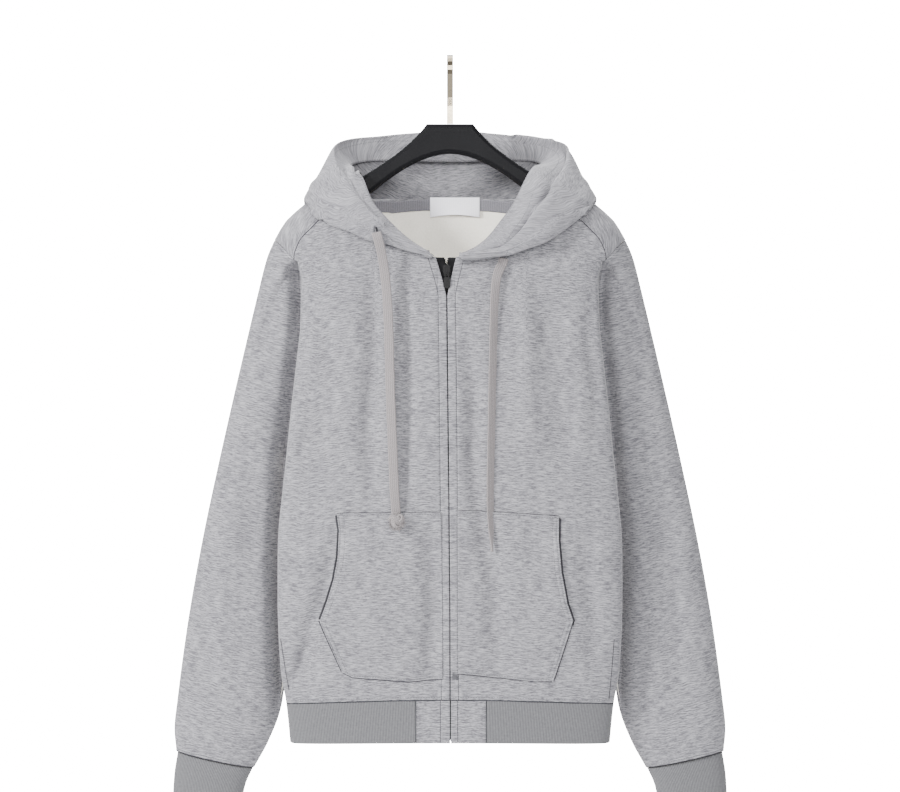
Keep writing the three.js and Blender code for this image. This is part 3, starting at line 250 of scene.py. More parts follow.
def ramp(low: float, high: float, at: Points | float) -> Points:
    """A soft step from 0 at low to 1 at high."""
    t = np.clip((np.asarray(at, float) - low) / (high - low), 0, 1)
    return t * t * (3 - 2 * t)


def with_edges(values: Points, first: Sequence[float] = (), last: Sequence[float] = ()) -> Points:
    """Grid places with a few more close to each end, so that a cloth edge can be round."""
    extra = [values[0] + gap for gap in first] + [values[-1] - gap for gap in last]
    return np.unique(np.concatenate([values, extra]))


def unevenness(across: Points, down: Points, seed: int, size: float) -> Points:
    """Slight unevenness of hung cloth.

    Args:
        across: distance across the cloth, in millimetres.
        down: distance along it, in millimetres.
        seed: picks one of many patterns.
        size: the largest height, in millimetres.

    Returns:
        Heights, in millimetres.
    """
    dice = np.random.default_rng(seed)
    height = np.zeros(np.broadcast(across, down).shape)
    for _ in range(14):
        wave = dice.uniform(45, 150)
        turn = dice.normal(0.0, 0.55)
        phase = dice.uniform(0, 2 * math.pi)
        height += np.cos(2 * math.pi * (across * math.cos(turn) + down * math.sin(turn) * 0.6) / wave + phase)
    return height * size / 5


# Cloth shells


@dataclass
class Sheet:
    """A grid of points that a cloth wall is made from.

    points: the outer face, shaped (columns, rows, 3).
    grain: distance across and along the cloth at each point, shaped (columns, rows, 2).
    thickness: the wall, in millimetres.
    sign: 1 or -1, whichever turns the grid's normals outwards.
    closed: true for a tube.
    bare: borders without an edge face, named first, last, foot and head.
    bare_rows: how many rows of a bare side border have no edge face; all of them if 0.
    beside: neighbours' columns before the first and after the last, that the normals are smooth with.
    """

    points: Points
    grain: Points
    thickness: float
    sign: int = 1
    closed: bool = False
    bare: tuple[str, ...] = ()
    bare_rows: int = 0
    beside: tuple[Points | None, Points | None] = (None, None)

    def normals(self) -> Points:
        """Outward normals, worked out together with the neighbours' columns, which may be shorter."""
        before, after = self.beside
        normals = self.plain_normals(self.points)
        if before is None and after is None:
            return normals
        rows = self.points.shape[1]
        start = [] if before is None else [before[None, :rows]]
        end = [] if after is None else [after[None, :rows]]
        shared = min([rows] + [part.shape[1] for part in start + end])
        wide = self.plain_normals(np.concatenate([part[:, :shared] for part in (*start, self.points, *end)]))
        first = len(start)
        normals[:, : shared - 1] = wide[first : first + len(self.points), : shared - 1]
        return normals

    def plain_normals(self, p: Points) -> Points:
        """Normals of a grid on its own."""
        if self.closed:
            across = np.roll(p, -1, axis=0) - np.roll(p, 1, axis=0)
        else:
            across = np.empty_like(p)
            across[1:-1] = p[2:] - p[:-2]
            across[0] = p[1] - p[0]
            across[-1] = p[-1] - p[-2]
        along = np.empty_like(p)
        along[:, 1:-1] = p[:, 2:] - p[:, :-2]
        along[:, 0] = p[:, 1] - p[:, 0]
        along[:, -1] = p[:, -1] - p[:, -2]
        return unit(np.cross(across, along) * self.sign)

    def fullness(self) -> Points:
        """How full the wall is at each point: 1 inside, falling to 0 round its edges."""
        p = self.points
        depth = np.full(p.shape[:2], 1e6)
        along = np.linalg.norm(np.diff(p, axis=1), axis=2)
        up = np.concatenate([np.zeros((p.shape[0], 1)), np.cumsum(along, axis=1)], axis=1)
        if "foot" not in self.bare:
            depth = np.minimum(depth, up)
        if "head" not in self.bare:
            depth = np.minimum(depth, up[:, -1:] - up)
        if not self.closed:
            step = np.linalg.norm(np.diff(p, axis=0), axis=2)
            over = np.concatenate([np.zeros((1, p.shape[1])), np.cumsum(step, axis=0)], axis=0)
            rows = np.arange(p.shape[1])
            free = self.bare_rows if self.bare_rows else p.shape[1]
            for name, distance in (("first", over), ("last", over[-1:] - over)):
                held = (rows < free) if name in self.bare else np.zeros(len(rows), bool)
                depth = np.minimum(depth, np.where(held[None, :], 1e6, distance))
        near = np.clip(depth / (self.thickness * 0.5), 0, 1)
        return np.sqrt(np.clip(1 - (1 - near) ** 2, 0.0025, 1))

    def line(self, border: str, distance: float, lift: float = 0.0) -> tuple[Points, Points]:
        """A line on the outer face at a distance from a border.

        Args:
            border: first, last, foot or head.
            distance: how far from it, in millimetres.
            lift: how far above the face.

        Returns:
            The line's points, and the normals there.
        """
        p, n = self.points, self.normals()
        if border in ("first", "last"):
            p, n = np.swapaxes(p, 0, 1), np.swapaxes(n, 0, 1)
        if border in ("last", "head"):
            p, n = p[:, ::-1], n[:, ::-1]
        step = np.linalg.norm(np.diff(p, axis=1), axis=2)
        length = np.concatenate([np.zeros((len(p), 1)), np.cumsum(step, axis=1)], axis=1)
        line, normals = np.empty((len(p), 3)), np.empty((len(p), 3))
        for i in range(len(p)):
            for k in range(3):
                line[i, k] = np.interp(distance, length[i], p[i, :, k])
                normals[i, k] = np.interp(distance, length[i], n[i, :, k])
        normals = unit(normals)
        return line + normals * lift, normals

    def mesh(self) -> tuple[Points, list[NDArray], list[int], Points]:
        """The wall's corners, faces, the finish of each face, and each corner's grain."""
        normals = self.normals()
        half = self.thickness / 2
        full = self.fullness()[..., None]
        middle = self.points - normals * half
        outer = middle + normals * half * full
        inner = middle - normals * half * full
        columns, rows = self.points.shape[:2]
        corners = np.concatenate([outer.reshape(-1, 3), inner.reshape(-1, 3)])
        grain = np.concatenate([self.grain.reshape(-1, 2)] * 2)
        place = np.arange(columns * rows).reshape(columns, rows)
        ahead = np.roll(place, -1, axis=0) if self.closed else place[1:]
        here = place if self.closed else place[:-1]
        quads = [np.stack([here[:, :-1], ahead[:, :-1], ahead[:, 1:], here[:, 1:]], -1).reshape(-1, 4)]
        quads.append(quads[0][:, ::-1] + columns * rows)
        slots = [0] * len(quads[0]) + [1] * len(quads[0])
        inside = columns * rows
        edges = []
        if "foot" not in self.bare:
            edges.append(np.stack([here[:, 0], here[:, 0] + inside, ahead[:, 0] + inside, ahead[:, 0]], -1))
        if "head" not in self.bare:
            top, turned = here[:, -1], ahead[:, -1]
            edges.append(np.stack([top, turned, turned + inside, top + inside], -1))
        if not self.closed:
            low, high = place[:, :-1], place[:, 1:]
            free = self.bare_rows - 1 if self.bare_rows else rows
            start = free if "first" in self.bare else 0
            a, b = low[0, start:], high[0, start:]
            edges.append(np.stack([a, b, b + inside, a + inside], -1))
            start = free if "last" in self.bare else 0
            a, b = low[-1, start:], high[-1, start:]
            edges.append(np.stack([a, a + inside, b + inside, b], -1))
        for edge in edges:
            quads.append(edge)
            slots += [0] * len(edge)
        faces = np.concatenate(quads)
        if self.sign < 0:
            faces = faces[:, ::-1]
        return corners, faces, slots, grain


def make_object(name: str, corners: Points, faces: NDArray | list, slots: Sequence[int], grain: Points | None,
                finishes: Sequence[bpy.types.Material], weld: bool = False) -> bpy.types.Object:
    """Make a Blender object from corners in millimetres.

    Args:
        name: the object's name.
        corners: its corners, shaped (count, 3).
        faces: its faces, as corner numbers.
        slots: the finish number of each face.
        grain: distance across and along the cloth at each corner, in millimetres.
        finishes: its materials.
        weld: join corners that lie in one place.

    Returns:
        The linked object, smooth shaded.
    """
    mesh = bpy.data.meshes.new(name)
    mesh.from_pydata((corners * MM).tolist(), [], [list(map(int, face)) for face in faces])
    mesh.polygons.foreach_set("material_index", np.asarray(slots, np.int32))
    mesh.polygons.foreach_set("use_smooth", np.ones(len(mesh.polygons), bool))
    if grain is not None:
        loops = np.empty(len(mesh.loops), np.int32)
        mesh.loops.foreach_get("vertex_index", loops)
        layer = mesh.uv_layers.new(name="grain")
        layer.data.foreach_set("uv", (grain[loops] * MM).astype(np.float32).ravel())
    for finish in finishes:
        mesh.materials.append(finish)
    if weld:
        work = bmesh.new()
        work.from_mesh(mesh)
        bmesh.ops.remove_doubles(work, verts=work.verts, dist=2e-6)
        work.to_mesh(mesh)
        work.free()
    mesh.update()
    piece = bpy.data.objects.new(name, mesh)
    bpy.context.scene.collection.objects.link(piece)
    return piece


def make_cloth(name: str, sheets: Sequence[Sheet],
               finishes: Sequence[bpy.types.Material]) -> bpy.types.Object:
    """Make one cloth piece from one or more sheets that meet at bare borders."""
    corners, faces, slots, grains = [], [], [], []
    count = 0
    for sheet in sheets:
        points, quads, kinds, grain = sheet.mesh()
        corners.append(points)
        faces.append(quads + count)
        slots += kinds
        grains.append(grain)
        count += len(points)
    return make_object(
        name, np.concatenate(corners), np.concatenate(faces), slots, np.concatenate(grains), finishes,
        weld=len(sheets) > 1,
    )


# The body's form


@dataclass(frozen=True)
class BodySection:
    """A level cut through the body: its half width, and depths of front, back, side fold and seam."""

    at: float
    half: float
    front: float
    back: float
    fold: float
    tuck: float
    seam: float


@dataclass(frozen=True)
class LinePoint:
    """A height at a place across."""

    at: float
    z: float


@dataclass(frozen=True)
class SeamDrop:
    """How far the shoulder seam lies below the shoulder line."""

    at: float
    drop: float


@dataclass(frozen=True)
class ZipPlace:
    """Where the zip's middle and the two cloth edges beside it lie, at a height."""

    at: float
    middle: float
    left: float
    right: float


@dataclass(frozen=True)
class Crease:
    """A soft trough from (x0, z0) down to (x1, z1); a negative depth makes a ridge."""

    x0: float
    z0: float
    x1: float
    z1: float
    breadth: float
    depth: float


@dataclass(frozen=True)
class BodyForm:
    """The hung body's surface, and where its panels end."""

    shoulder: tuple[LinePoint, ...] = (
        LinePoint(0, -93), LinePoint(112, -151), LinePoint(188, -191), LinePoint(200, -201),
        LinePoint(212, -212.5), LinePoint(219, -223), LinePoint(227.5, -238),
    )
    sections: tuple[BodySection, ...] = (
        BodySection(-900, 204, 47, 40, 18, 4, -8), BodySection(-832, 210.5, 50, 42, 22, 8, -6),
        BodySection(-790, 217, 55, 46, 27, 14, 0), BodySection(-700, 220.5, 60, 50, 32, 22, 4),
        BodySection(-630, 220, 62, 52, 34, 22, 4), BodySection(-560, 214, 62, 53, 34, 22, 2),
        BodySection(-510, 208.5, 61.5, 52.5, 34, 19, -3), BodySection(-478, 205.5, 61, 52, 33, 13, -4),
        BodySection(-400, 197, 59, 51, 32, 6, 0), BodySection(-346, 191.5, 56, 50, 31, 4, 0),
        BodySection(-290, 190, 53, 48, 30, 4, 0), BodySection(-266, 195, 51, 47, 29, 5, 0),
        BodySection(-200, 195, 45, 44, 27, 5, 0), BodySection(-140, 195, 40, 40, 25, 5, 0),
    )
    seam_drops: tuple[SeamDrop, ...] = (
        SeamDrop(0.514, 31), SeamDrop(0.79, 35), SeamDrop(0.87, 42), SeamDrop(0.92, 46),
        SeamDrop(0.97, 55), SeamDrop(1, 63),
    )
    zip_line: tuple[ZipPlace, ...] = (
        ZipPlace(-900, 0.7, 0.1, 1.3), ZipPlace(-571, -1.3, -1.9, -0.7), ZipPlace(-312, -4, -4.7, -3.3),
        ZipPlace(-292, -4.3, -9.4, 0.6), ZipPlace(-262, -4.6, -18.4, 8),
    )
    front_creases: tuple[Crease, ...] = (
        Crease(-96, -262, -100, -600, 15, 5), Crease(-53, -280, -53, -590, 9, 4),
        Crease(24, -350, 40, -650, 11, 4), Crease(48, -590, 66, -800, 15, 4),
        Crease(-22, -590, -20, -820, 14, 5), Crease(128, -300, 150, -560, 20, 3),
        Crease(-135, -600, -195, -800, 14, 4.5),
        Crease(-168, -740, -206, -815, 9, 4), Crease(92, -262, 104, -520, 14, -2.4),
        Crease(-150, -330, -168, -560, 16, 2.4), Crease(178, -300, 186, -520, 10, 2.2),
        Crease(172, -600, 186, -800, 12, 2.2), Crease(-190, -420, -200, -560, 9, -1.8),
    )
    back_creases: tuple[Crease, ...] = (
        Crease(-60, -330, -84, -790, 20, 5), Crease(36, -330, 26, -700, 16, 4),
        Crease(110, -320, 134, -800, 22, 5), Crease(-130, -300, -150, -600, 18, 4),
        Crease(4, -560, -18, -815, 14, 2.6), Crease(168, -420, 186, -720, 12, 2.6),
    )
    round: float = 70
    half: float = 195
    tip: float = 32.5
    tip_power: float = 0.8
    front_power: float = 0.7
    back_power: float = 0.9
    armpit: float = -478
    armhole_round: float = 60
    armhole_front: float = -21
    armhole_back: float = 22
    neck: float = 0.514
    neck_front: float = -262
    neck_rise: float = 86
    neck_back: float = -184.5
    seam_gap: float = 0.3
    hem_seam: float = -826
    hem_drop: float = 7
    wrap_end: float = 1.2
    crease_scale: float = 2.0
    crease_bend: float = 2.5
    crease_waves: float = 3.1

    def start(self, share: Points | float) -> Points:
        """Height along a column where the shoulder starts to round over."""
        return self.ridge(np.minimum(share, 1) * self.half) - self.round

    def ridge(self, x: Points | float) -> Points:
        """Height of the shoulder line at a distance from the middle."""
        return np.interp(x, [p.at for p in self.shoulder], [p.z for p in self.shoulder])

    def creasing(self, table: Sequence[Crease], x: Points, z: Points) -> Points:
        """Depth of the creases of a table at points of a panel."""
        depth = np.zeros_like(x)
        for crease in table:
            along = (crease.z0 - z) / (crease.z0 - crease.z1)
            inside = np.clip(along, 0, 1)
            bend = self.crease_bend * np.sin(self.crease_waves * math.pi * inside + crease.x0)
            off = (x - (crease.x0 + (crease.x1 - crease.x0) * inside) - bend) / crease.breadth
            depth += self.crease_scale * crease.depth * np.sin(math.pi * inside) ** 0.7 * np.exp(-off * off)
        return depth

    def bulge(self, flat: Points, power: float) -> Points:
        """How far a section stands out at a place across: 1 in the middle, 0 at the side."""
        return np.sqrt(np.maximum(0, 1 - np.minimum(1, flat ** (1 / power)) ** 2)) ** power

    def open(self, z: Points) -> Points:
        """How far open the armhole is at a height."""
        return np.sqrt(np.clip((z - self.armpit) / self.armhole_round, 0, 1))

    def point(self, side: int, share: Points | float, path: Points | float, front: bool) -> Points:
        """Points of the body's outer surface.

        Args:
            side: -1 for the viewer's left, 1 for the right.
            share: place across, 0 in the middle, 1 at the side fold, and past 1 round the side.
            path: height, and past the start of the shoulder the length round it.
            front: whether the path starts on the front.

        Returns:
            Points, shaped like share and path with three numbers each.
        """
        share, path = np.broadcast_arrays(np.asarray(share, float), np.asarray(path, float))
        start = self.start(share)
        turn = np.clip((path - start) / self.round, 0, math.pi)
        over = turn > 0
        flat = np.minimum(share, 1)
        low = np.minimum(path, start)
        rounded = self.half + self.tip * np.sin(turn) ** self.tip_power
        half = np.where(over, rounded, read(self.sections, "half", low))
        ridge = self.ridge(flat * half)
        z = np.where(over, ridge - self.round * (1 - np.sin(turn)), low)
        lean = np.cos(turn)
        ahead = (lean >= 0) == front
        seam, tuck, fold = (read(self.sections, name, z) for name in ("seam", "tuck", "fold"))
        opened = self.open(z)
        level = self.bulge(flat, self.front_power)
        y_front = -(fold + (read(self.sections, "front", z) - fold) * level)
        wrap = np.clip((share - 1) / (self.wrap_end - 1), 0, 1)
        y_front = y_front + ((seam + (self.armhole_front - seam) * opened) - y_front) * wrap
        x_front = flat * half - tuck * wrap**2
        y_front = y_front + self.creasing(self.front_creases, side * x_front, z) * (1 - wrap)
        level = self.bulge(flat, self.back_power)
        end = (seam + self.seam_gap) + (self.armhole_back - seam - self.seam_gap) * opened
        y_back = end + (read(self.sections, "back", z) - end) * level
        x_back = flat * (half - tuck * np.where(over, np.maximum(0, lean), 1))
        y_back = y_back - self.creasing(self.back_creases, side * x_back, z)
        x = np.where(ahead, x_front, x_back)
        y = np.where(ahead, y_front, y_back)
        return np.stack([side * x, y * np.abs(lean), z], axis=-1)

    def seam_angle(self, share: Points | float) -> Points:
        """Angle of the shoulder seam past the start of the round."""
        drops = [d.drop for d in self.seam_drops]
        return np.arcsin(1 - np.interp(share, [d.at for d in self.seam_drops], drops) / self.round)

    def front_end(self, share: Points | float) -> Points:
        """Where a front column ends: at the neckline or at the shoulder seam."""
        share = np.asarray(share, float)
        start = self.start(share)
        seam = start + self.round * self.seam_angle(np.minimum(share, 1))
        z = self.neck_front + self.neck_rise * (1 - np.sqrt(np.maximum(0, 1 - (share / self.neck) ** 2)))
        bent = start + self.round * np.arcsin(np.clip((z - start) / self.round, 0, 1))
        return np.where(share >= self.neck, seam, np.where(z <= start, z, bent))

    def back_end(self, share: Points | float) -> Points:
        """Where a shoulder column of the back ends, over the shoulder at its seam."""
        return self.start(share) + self.round * (math.pi - self.seam_angle(share))

    def foot(self, share: Points | float) -> Points:
        """Height of the hem seam."""
        return self.hem_seam - self.hem_drop * np.minimum(share, 1) ** 2

    def front_face(self, x: Points, z: Points) -> Points:
        """Depth of the front's outer face at places seen from the front."""
        share = np.minimum(np.abs(x) / read(self.sections, "half", z), 1)
        left = self.point(-1, share, z, True)[..., 1]
        right = self.point(1, share, z, True)[..., 1]
        return np.where(x < 0, left, right)


BODY = BodyForm()


def grain_of(points: Points) -> Points:
    """Distance across and along a grid, measured on it.

    Args:
        points: the grid, shaped (columns, rows, 3).

    Returns:
        The distances, shaped (columns, rows, 2).
    """
    step = np.linalg.norm(np.diff(points, axis=0), axis=2)
    across = np.concatenate([np.zeros((1, points.shape[1])), np.cumsum(step, axis=0)], axis=0)
    across = across - across[across.shape[0] // 2][None, :]
    rise = np.linalg.norm(np.diff(points, axis=1), axis=2)
    along = np.concatenate([np.zeros((points.shape[0], 1)), np.cumsum(rise, axis=1)], axis=1)
    return np.stack([across, along], axis=-1)


def rib_grain_of(points: Points) -> Points:
    """Distance across and along a ribbed grid, with the distance across the same in all rows of a column."""
    grain = grain_of(points)
    grain[..., 0] = grain[..., 0].mean(axis=1, keepdims=True)
    return grain


def path_of(foot: Points, middle: float | Points, end: Points, lower: Points, upper: Points) -> Points:
    """Heights of a panel's rows, from its foot over a level to its end.

    Args:
        foot: the foot of each column.
        middle: the level between the two stretches.
        end: the end of each column.
        lower: shares of the lower stretch.
        upper: shares of the upper stretch, from 0.

    Returns:
        Heights, shaped (columns, rows).
    """
    foot, end = foot[:, None], end[:, None]
    below, above = foot + (middle - foot) * lower[None, :-1], middle + (end - middle) * upper[None, :]
    return np.concatenate([below, above], axis=1)


@dataclass
class FrontPanel:
    """One front, from the zip to the side seam."""

    side: Side
    cloth: float = 2.4
    placket: float = 11.0
    groove: float = 0.8
    columns: int = 96
    lower_rows: int = 90
    upper_rows: int = 96

    def grid(self) -> Points:
        """Outer points of the front."""
        sign = self.side.value
        flat = with_edges(np.linspace(0, 1, self.columns), first=(0.0015, 0.004, 0.008, 0.015))
        flat = np.unique(np.concatenate([flat, np.linspace(0.03, 0.06, 8), [BODY.neck]]))
        wrap = with_edges(np.linspace(1, BODY.wrap_end, 12), last=(0.004, 0.012))
        share = np.concatenate([flat, wrap[1:]])
        lower = with_edges(np.linspace(0, 1, self.lower_rows), first=(0.001, 0.003))
        upper = with_edges(np.linspace(0, 1, self.upper_rows), last=(0.001, 0.003, 0.006))
        path = path_of(BODY.foot(share), BODY.armpit, BODY.front_end(share) - BODY.seam_gap, lower, upper)
        points = BODY.point(sign, share[:, None], path, True)
        shift = np.interp(points[..., 2], *self._edge())
        fade = np.clip(1 - np.minimum(share, 1) / BODY.neck, 0, 1)[:, None]
        points[..., 0] += shift * fade**2
        rough = unevenness(points[..., 0], points[..., 2], 11 + sign, 0.7)
        points[..., 1] += rough * ramp(0, 0.06, share)[:, None] * ramp(1.1, 0.95, share)[:, None]
        middle = np.interp(points[..., 2], [z.at for z in BODY.zip_line], [z.middle for z in BODY.zip_line])
        away = np.abs(points[..., 0] - middle) - self.placket
        points[..., 1] += self.groove * np.exp(-((away / 1.0) ** 2)) * ramp(-262, -300, points[..., 2])
        return points

    def _edge(self) -> tuple[list[float], list[float]]:
        """The front edge beside the zip, as two lists."""
        return [z.at for z in BODY.zip_line], [getattr(z, self.side.word) for z in BODY.zip_line]

    def title(self) -> str:
        """The piece's name."""
        return f"front_panel_{self.side.word}"

    def sheet(self) -> Sheet:
        """The front's wall."""
        points = self.grid()
        return Sheet(points, grain_of(points), self.cloth, sign=self.side.value)


@dataclass
class BackPanel:
    """The back with its two yokes over the shoulders, in one piece."""

    cloth: float = 2.4
    middle_columns: int = 70
    side_columns: int = 46
    lower_rows: int = 80
    upper_rows: int = 56
    yoke_rows: int = 60

    def rows(self, share: Points) -> Points:
        """Heights from the hem seam to the level of the back neckline."""
        model = np.maximum(share, BODY.neck)
        level = BODY.start(model) + BODY.neck_back - BODY.start(BODY.neck)
        lower = with_edges(np.linspace(0, 1, self.lower_rows), first=(0.001, 0.003))
        upper = with_edges(np.linspace(0, 1, self.upper_rows), last=(0.001, 0.003, 0.006))
        return path_of(BODY.foot(share), BODY.armpit, level, lower, upper)

    def shape(self, side: int, share: Points, path: Points) -> Points:
        """Outer points of the back at places across and heights."""
        points = BODY.point(side, share[:, None], path, False)
        rough = unevenness(points[..., 0], points[..., 2], 23, 0.7)
        points[..., 1] += rough * ramp(1.0, 0.85, share)[:, None] * ramp(-215, -260, points[..., 2])
        return points

    def sheets(self) -> list[Sheet]:
        """The panel below the neckline and the two sides."""
        half = np.linspace(0, BODY.neck, self.middle_columns // 2)
        left = self.shape(-1, half[::-1], self.rows(half[::-1]))
        right = self.shape(1, half[1:], self.rows(half[1:]))
        middle = np.concatenate([left, right])
        share = with_edges(np.linspace(BODY.neck, 1, self.side_columns), last=(0.002, 0.005))
        low = self.rows(share)
        up = with_edges(np.linspace(0, 1, self.yoke_rows), last=(0.002, 0.005, 0.01))[1:]
        level = low[:, -1:]
        path = np.concatenate([low, level + (BODY.back_end(share)[:, None] - level) * up[None, :]], axis=1)
        beside = tuple(self.shape(side, share[1:2], low[1:2])[0] for side in (-1, 1))
        sheets = [Sheet(middle, grain_of(middle), self.cloth, sign=-1, bare=("first", "last"), beside=beside)]
        reach = sheets[0].grain
        for side in (-1, 1):
            order = share[::-1] if side < 0 else share
            rows = path[::-1] if side < 0 else path
            points = self.shape(side, order, rows)
            grain = grain_of(points)
            edge = -1 if side < 0 else 0
            grain[..., 0] += np.mean(reach[0 if side < 0 else -1, :, 0]) - grain[edge, :, 0][None, :]
            bare = ("last",) if side < 0 else ("first",)
            near = (None, middle[1]) if side < 0 else (middle[-2], None)
            sheets.append(
                Sheet(points, grain, self.cloth, sign=-1, bare=bare, bare_rows=low.shape[1], beside=near)
            )
        return sheets


# Pockets


@dataclass(frozen=True)
class PocketOutline:
    """A patch pocket's four edges, as (x, z) from corner to corner."""

    top: tuple[tuple[float, float], ...]
    opening: tuple[tuple[float, float], ...]
    foot: tuple[tuple[float, float], ...]
    inner: tuple[tuple[float, float], ...]


POCKET_LEFT = PocketOutline(
    top=((-11.5, -586.5), (-80, -587), (-143.5, -588)),
    opening=(
        (-143.5, -588), (-140.5, -609), (-142.5, -643), (-147.8, -672), (-156.5, -700), (-166, -725.5),
        (-153, -753.5), (-136.5, -790),
    ),
    foot=((-9.5, -798), (-52, -801.5), (-123.5, -796.5), (-136.5, -790)),
    inner=((-11.5, -586.5), (-10, -700), (-9.5, -798)),
)
POCKET_RIGHT = PocketOutline(
    top=((9.5, -584), (80, -587.5), (138, -591.5)),
    opening=(
        (138, -591.5), (137.5, -622), (141, -661.5), (148.5, -702), (156, -724), (143.5, -763.5),
        (131, -801.5),
    ),
    foot=((10.5, -791), (63.5, -796.5), (108, -801.5), (131, -801.5)),
    inner=((9.5, -584), (10, -700), (10.5, -791)),
)


def along_line(line: Sequence[tuple[float, float]], share: Points) -> Points:
    """Points of a straight-sided line at shares of its length."""
    points = np.asarray(line, float)
    length = polyline_length(points)
    return np.stack([np.interp(share * length[-1], length, points[:, k]) for k in range(2)], axis=-1)


@dataclass
class Pocket:
    """A hand pocket: a patch that follows the front, open along its curved side."""

    side: Side
    outline: PocketOutline
    cloth: float = 1.9
    gap: float = 0.35
    lift: float = 2.8
    columns: int = 64
    rows: int = 84
    dip: float = 0.9

    def grid(self) -> Points:
        """Outer points of the patch."""
        near = (0.002, 0.005, 0.009, 0.013, 0.018, 0.024, 0.032)
        across = with_edges(np.linspace(0, 1, self.columns), first=(0.003, 0.008), last=near)
        down = with_edges(np.linspace(0, 1, self.rows), first=near, last=near)
        s, t = across[:, None, None], down[None, :, None]
        inner = along_line(self.outline.inner, down)[None]
        opening = along_line(self.outline.opening, down)[None]
        top = along_line(self.outline.top, across)[:, None]
        foot = along_line(self.outline.foot, across)[:, None]
        corners = (
            (1 - s) * (1 - t) * top[0] + s * (1 - t) * top[-1] + (1 - s) * t * foot[0] + s * t * foot[-1]
        )
        flat = (1 - s) * inner + s * opening + (1 - t) * top + t * foot - corners
        x, z = flat[..., 0], flat[..., 1]
        mouth = ramp(0.02, 0.2, down) * ramp(0.72, 0.5, down)
        raised = self.lift * ramp(0.8, 1.0, across)[:, None] * mouth[None, :]
        at, low, high = across[:, None], down[None, :], 1 - down[None, :]
        lines = [np.exp(-(((1 - at - place) / 0.008) ** 2)) for place in (0.018, 0.062)]
        lines += [np.exp(-(((far - 0.012) / 0.006) ** 2)) for far in (low, high)]
        seam = self.dip * np.max([line + np.zeros_like(x) for line in lines], axis=0)
        y = BODY.front_face(x, z) - self.gap - self.cloth - raised + seam
        y += unevenness(x, z, 31 + self.side.value, 0.5) * np.sin(math.pi * across)[:, None] * 0.6
        return np.stack([x, y, z], axis=-1)

    def title(self) -> str:
        """The piece's name."""
        return f"patch_pocket_{self.side.word}"

    def sheet(self) -> Sheet:
        """The pocket's wall."""
        points = self.grid()
        return Sheet(points, grain_of(points), self.cloth, sign=-self.side.value)


# Sleeves and cuffs


@dataclass(frozen=True)
class SleeveDepth:
    """Half the depth of a sleeve at a share of its length."""

    at: float
    half: float


@dataclass(frozen=True)
class Roll:
    """A soft roll across a sleeve: place along it, height, breadth, and slant in share of length."""

    at: float
    height: float
    breadth: float
    slant: float = 0.0


@dataclass(frozen=True)
class LongFold:
    """A fold along a sleeve: its angle round it, its start and end, its breadth and depth."""

    angle: float
    start: float
    end: float
    breadth: float
    depth: float
    drift: float = 0.0


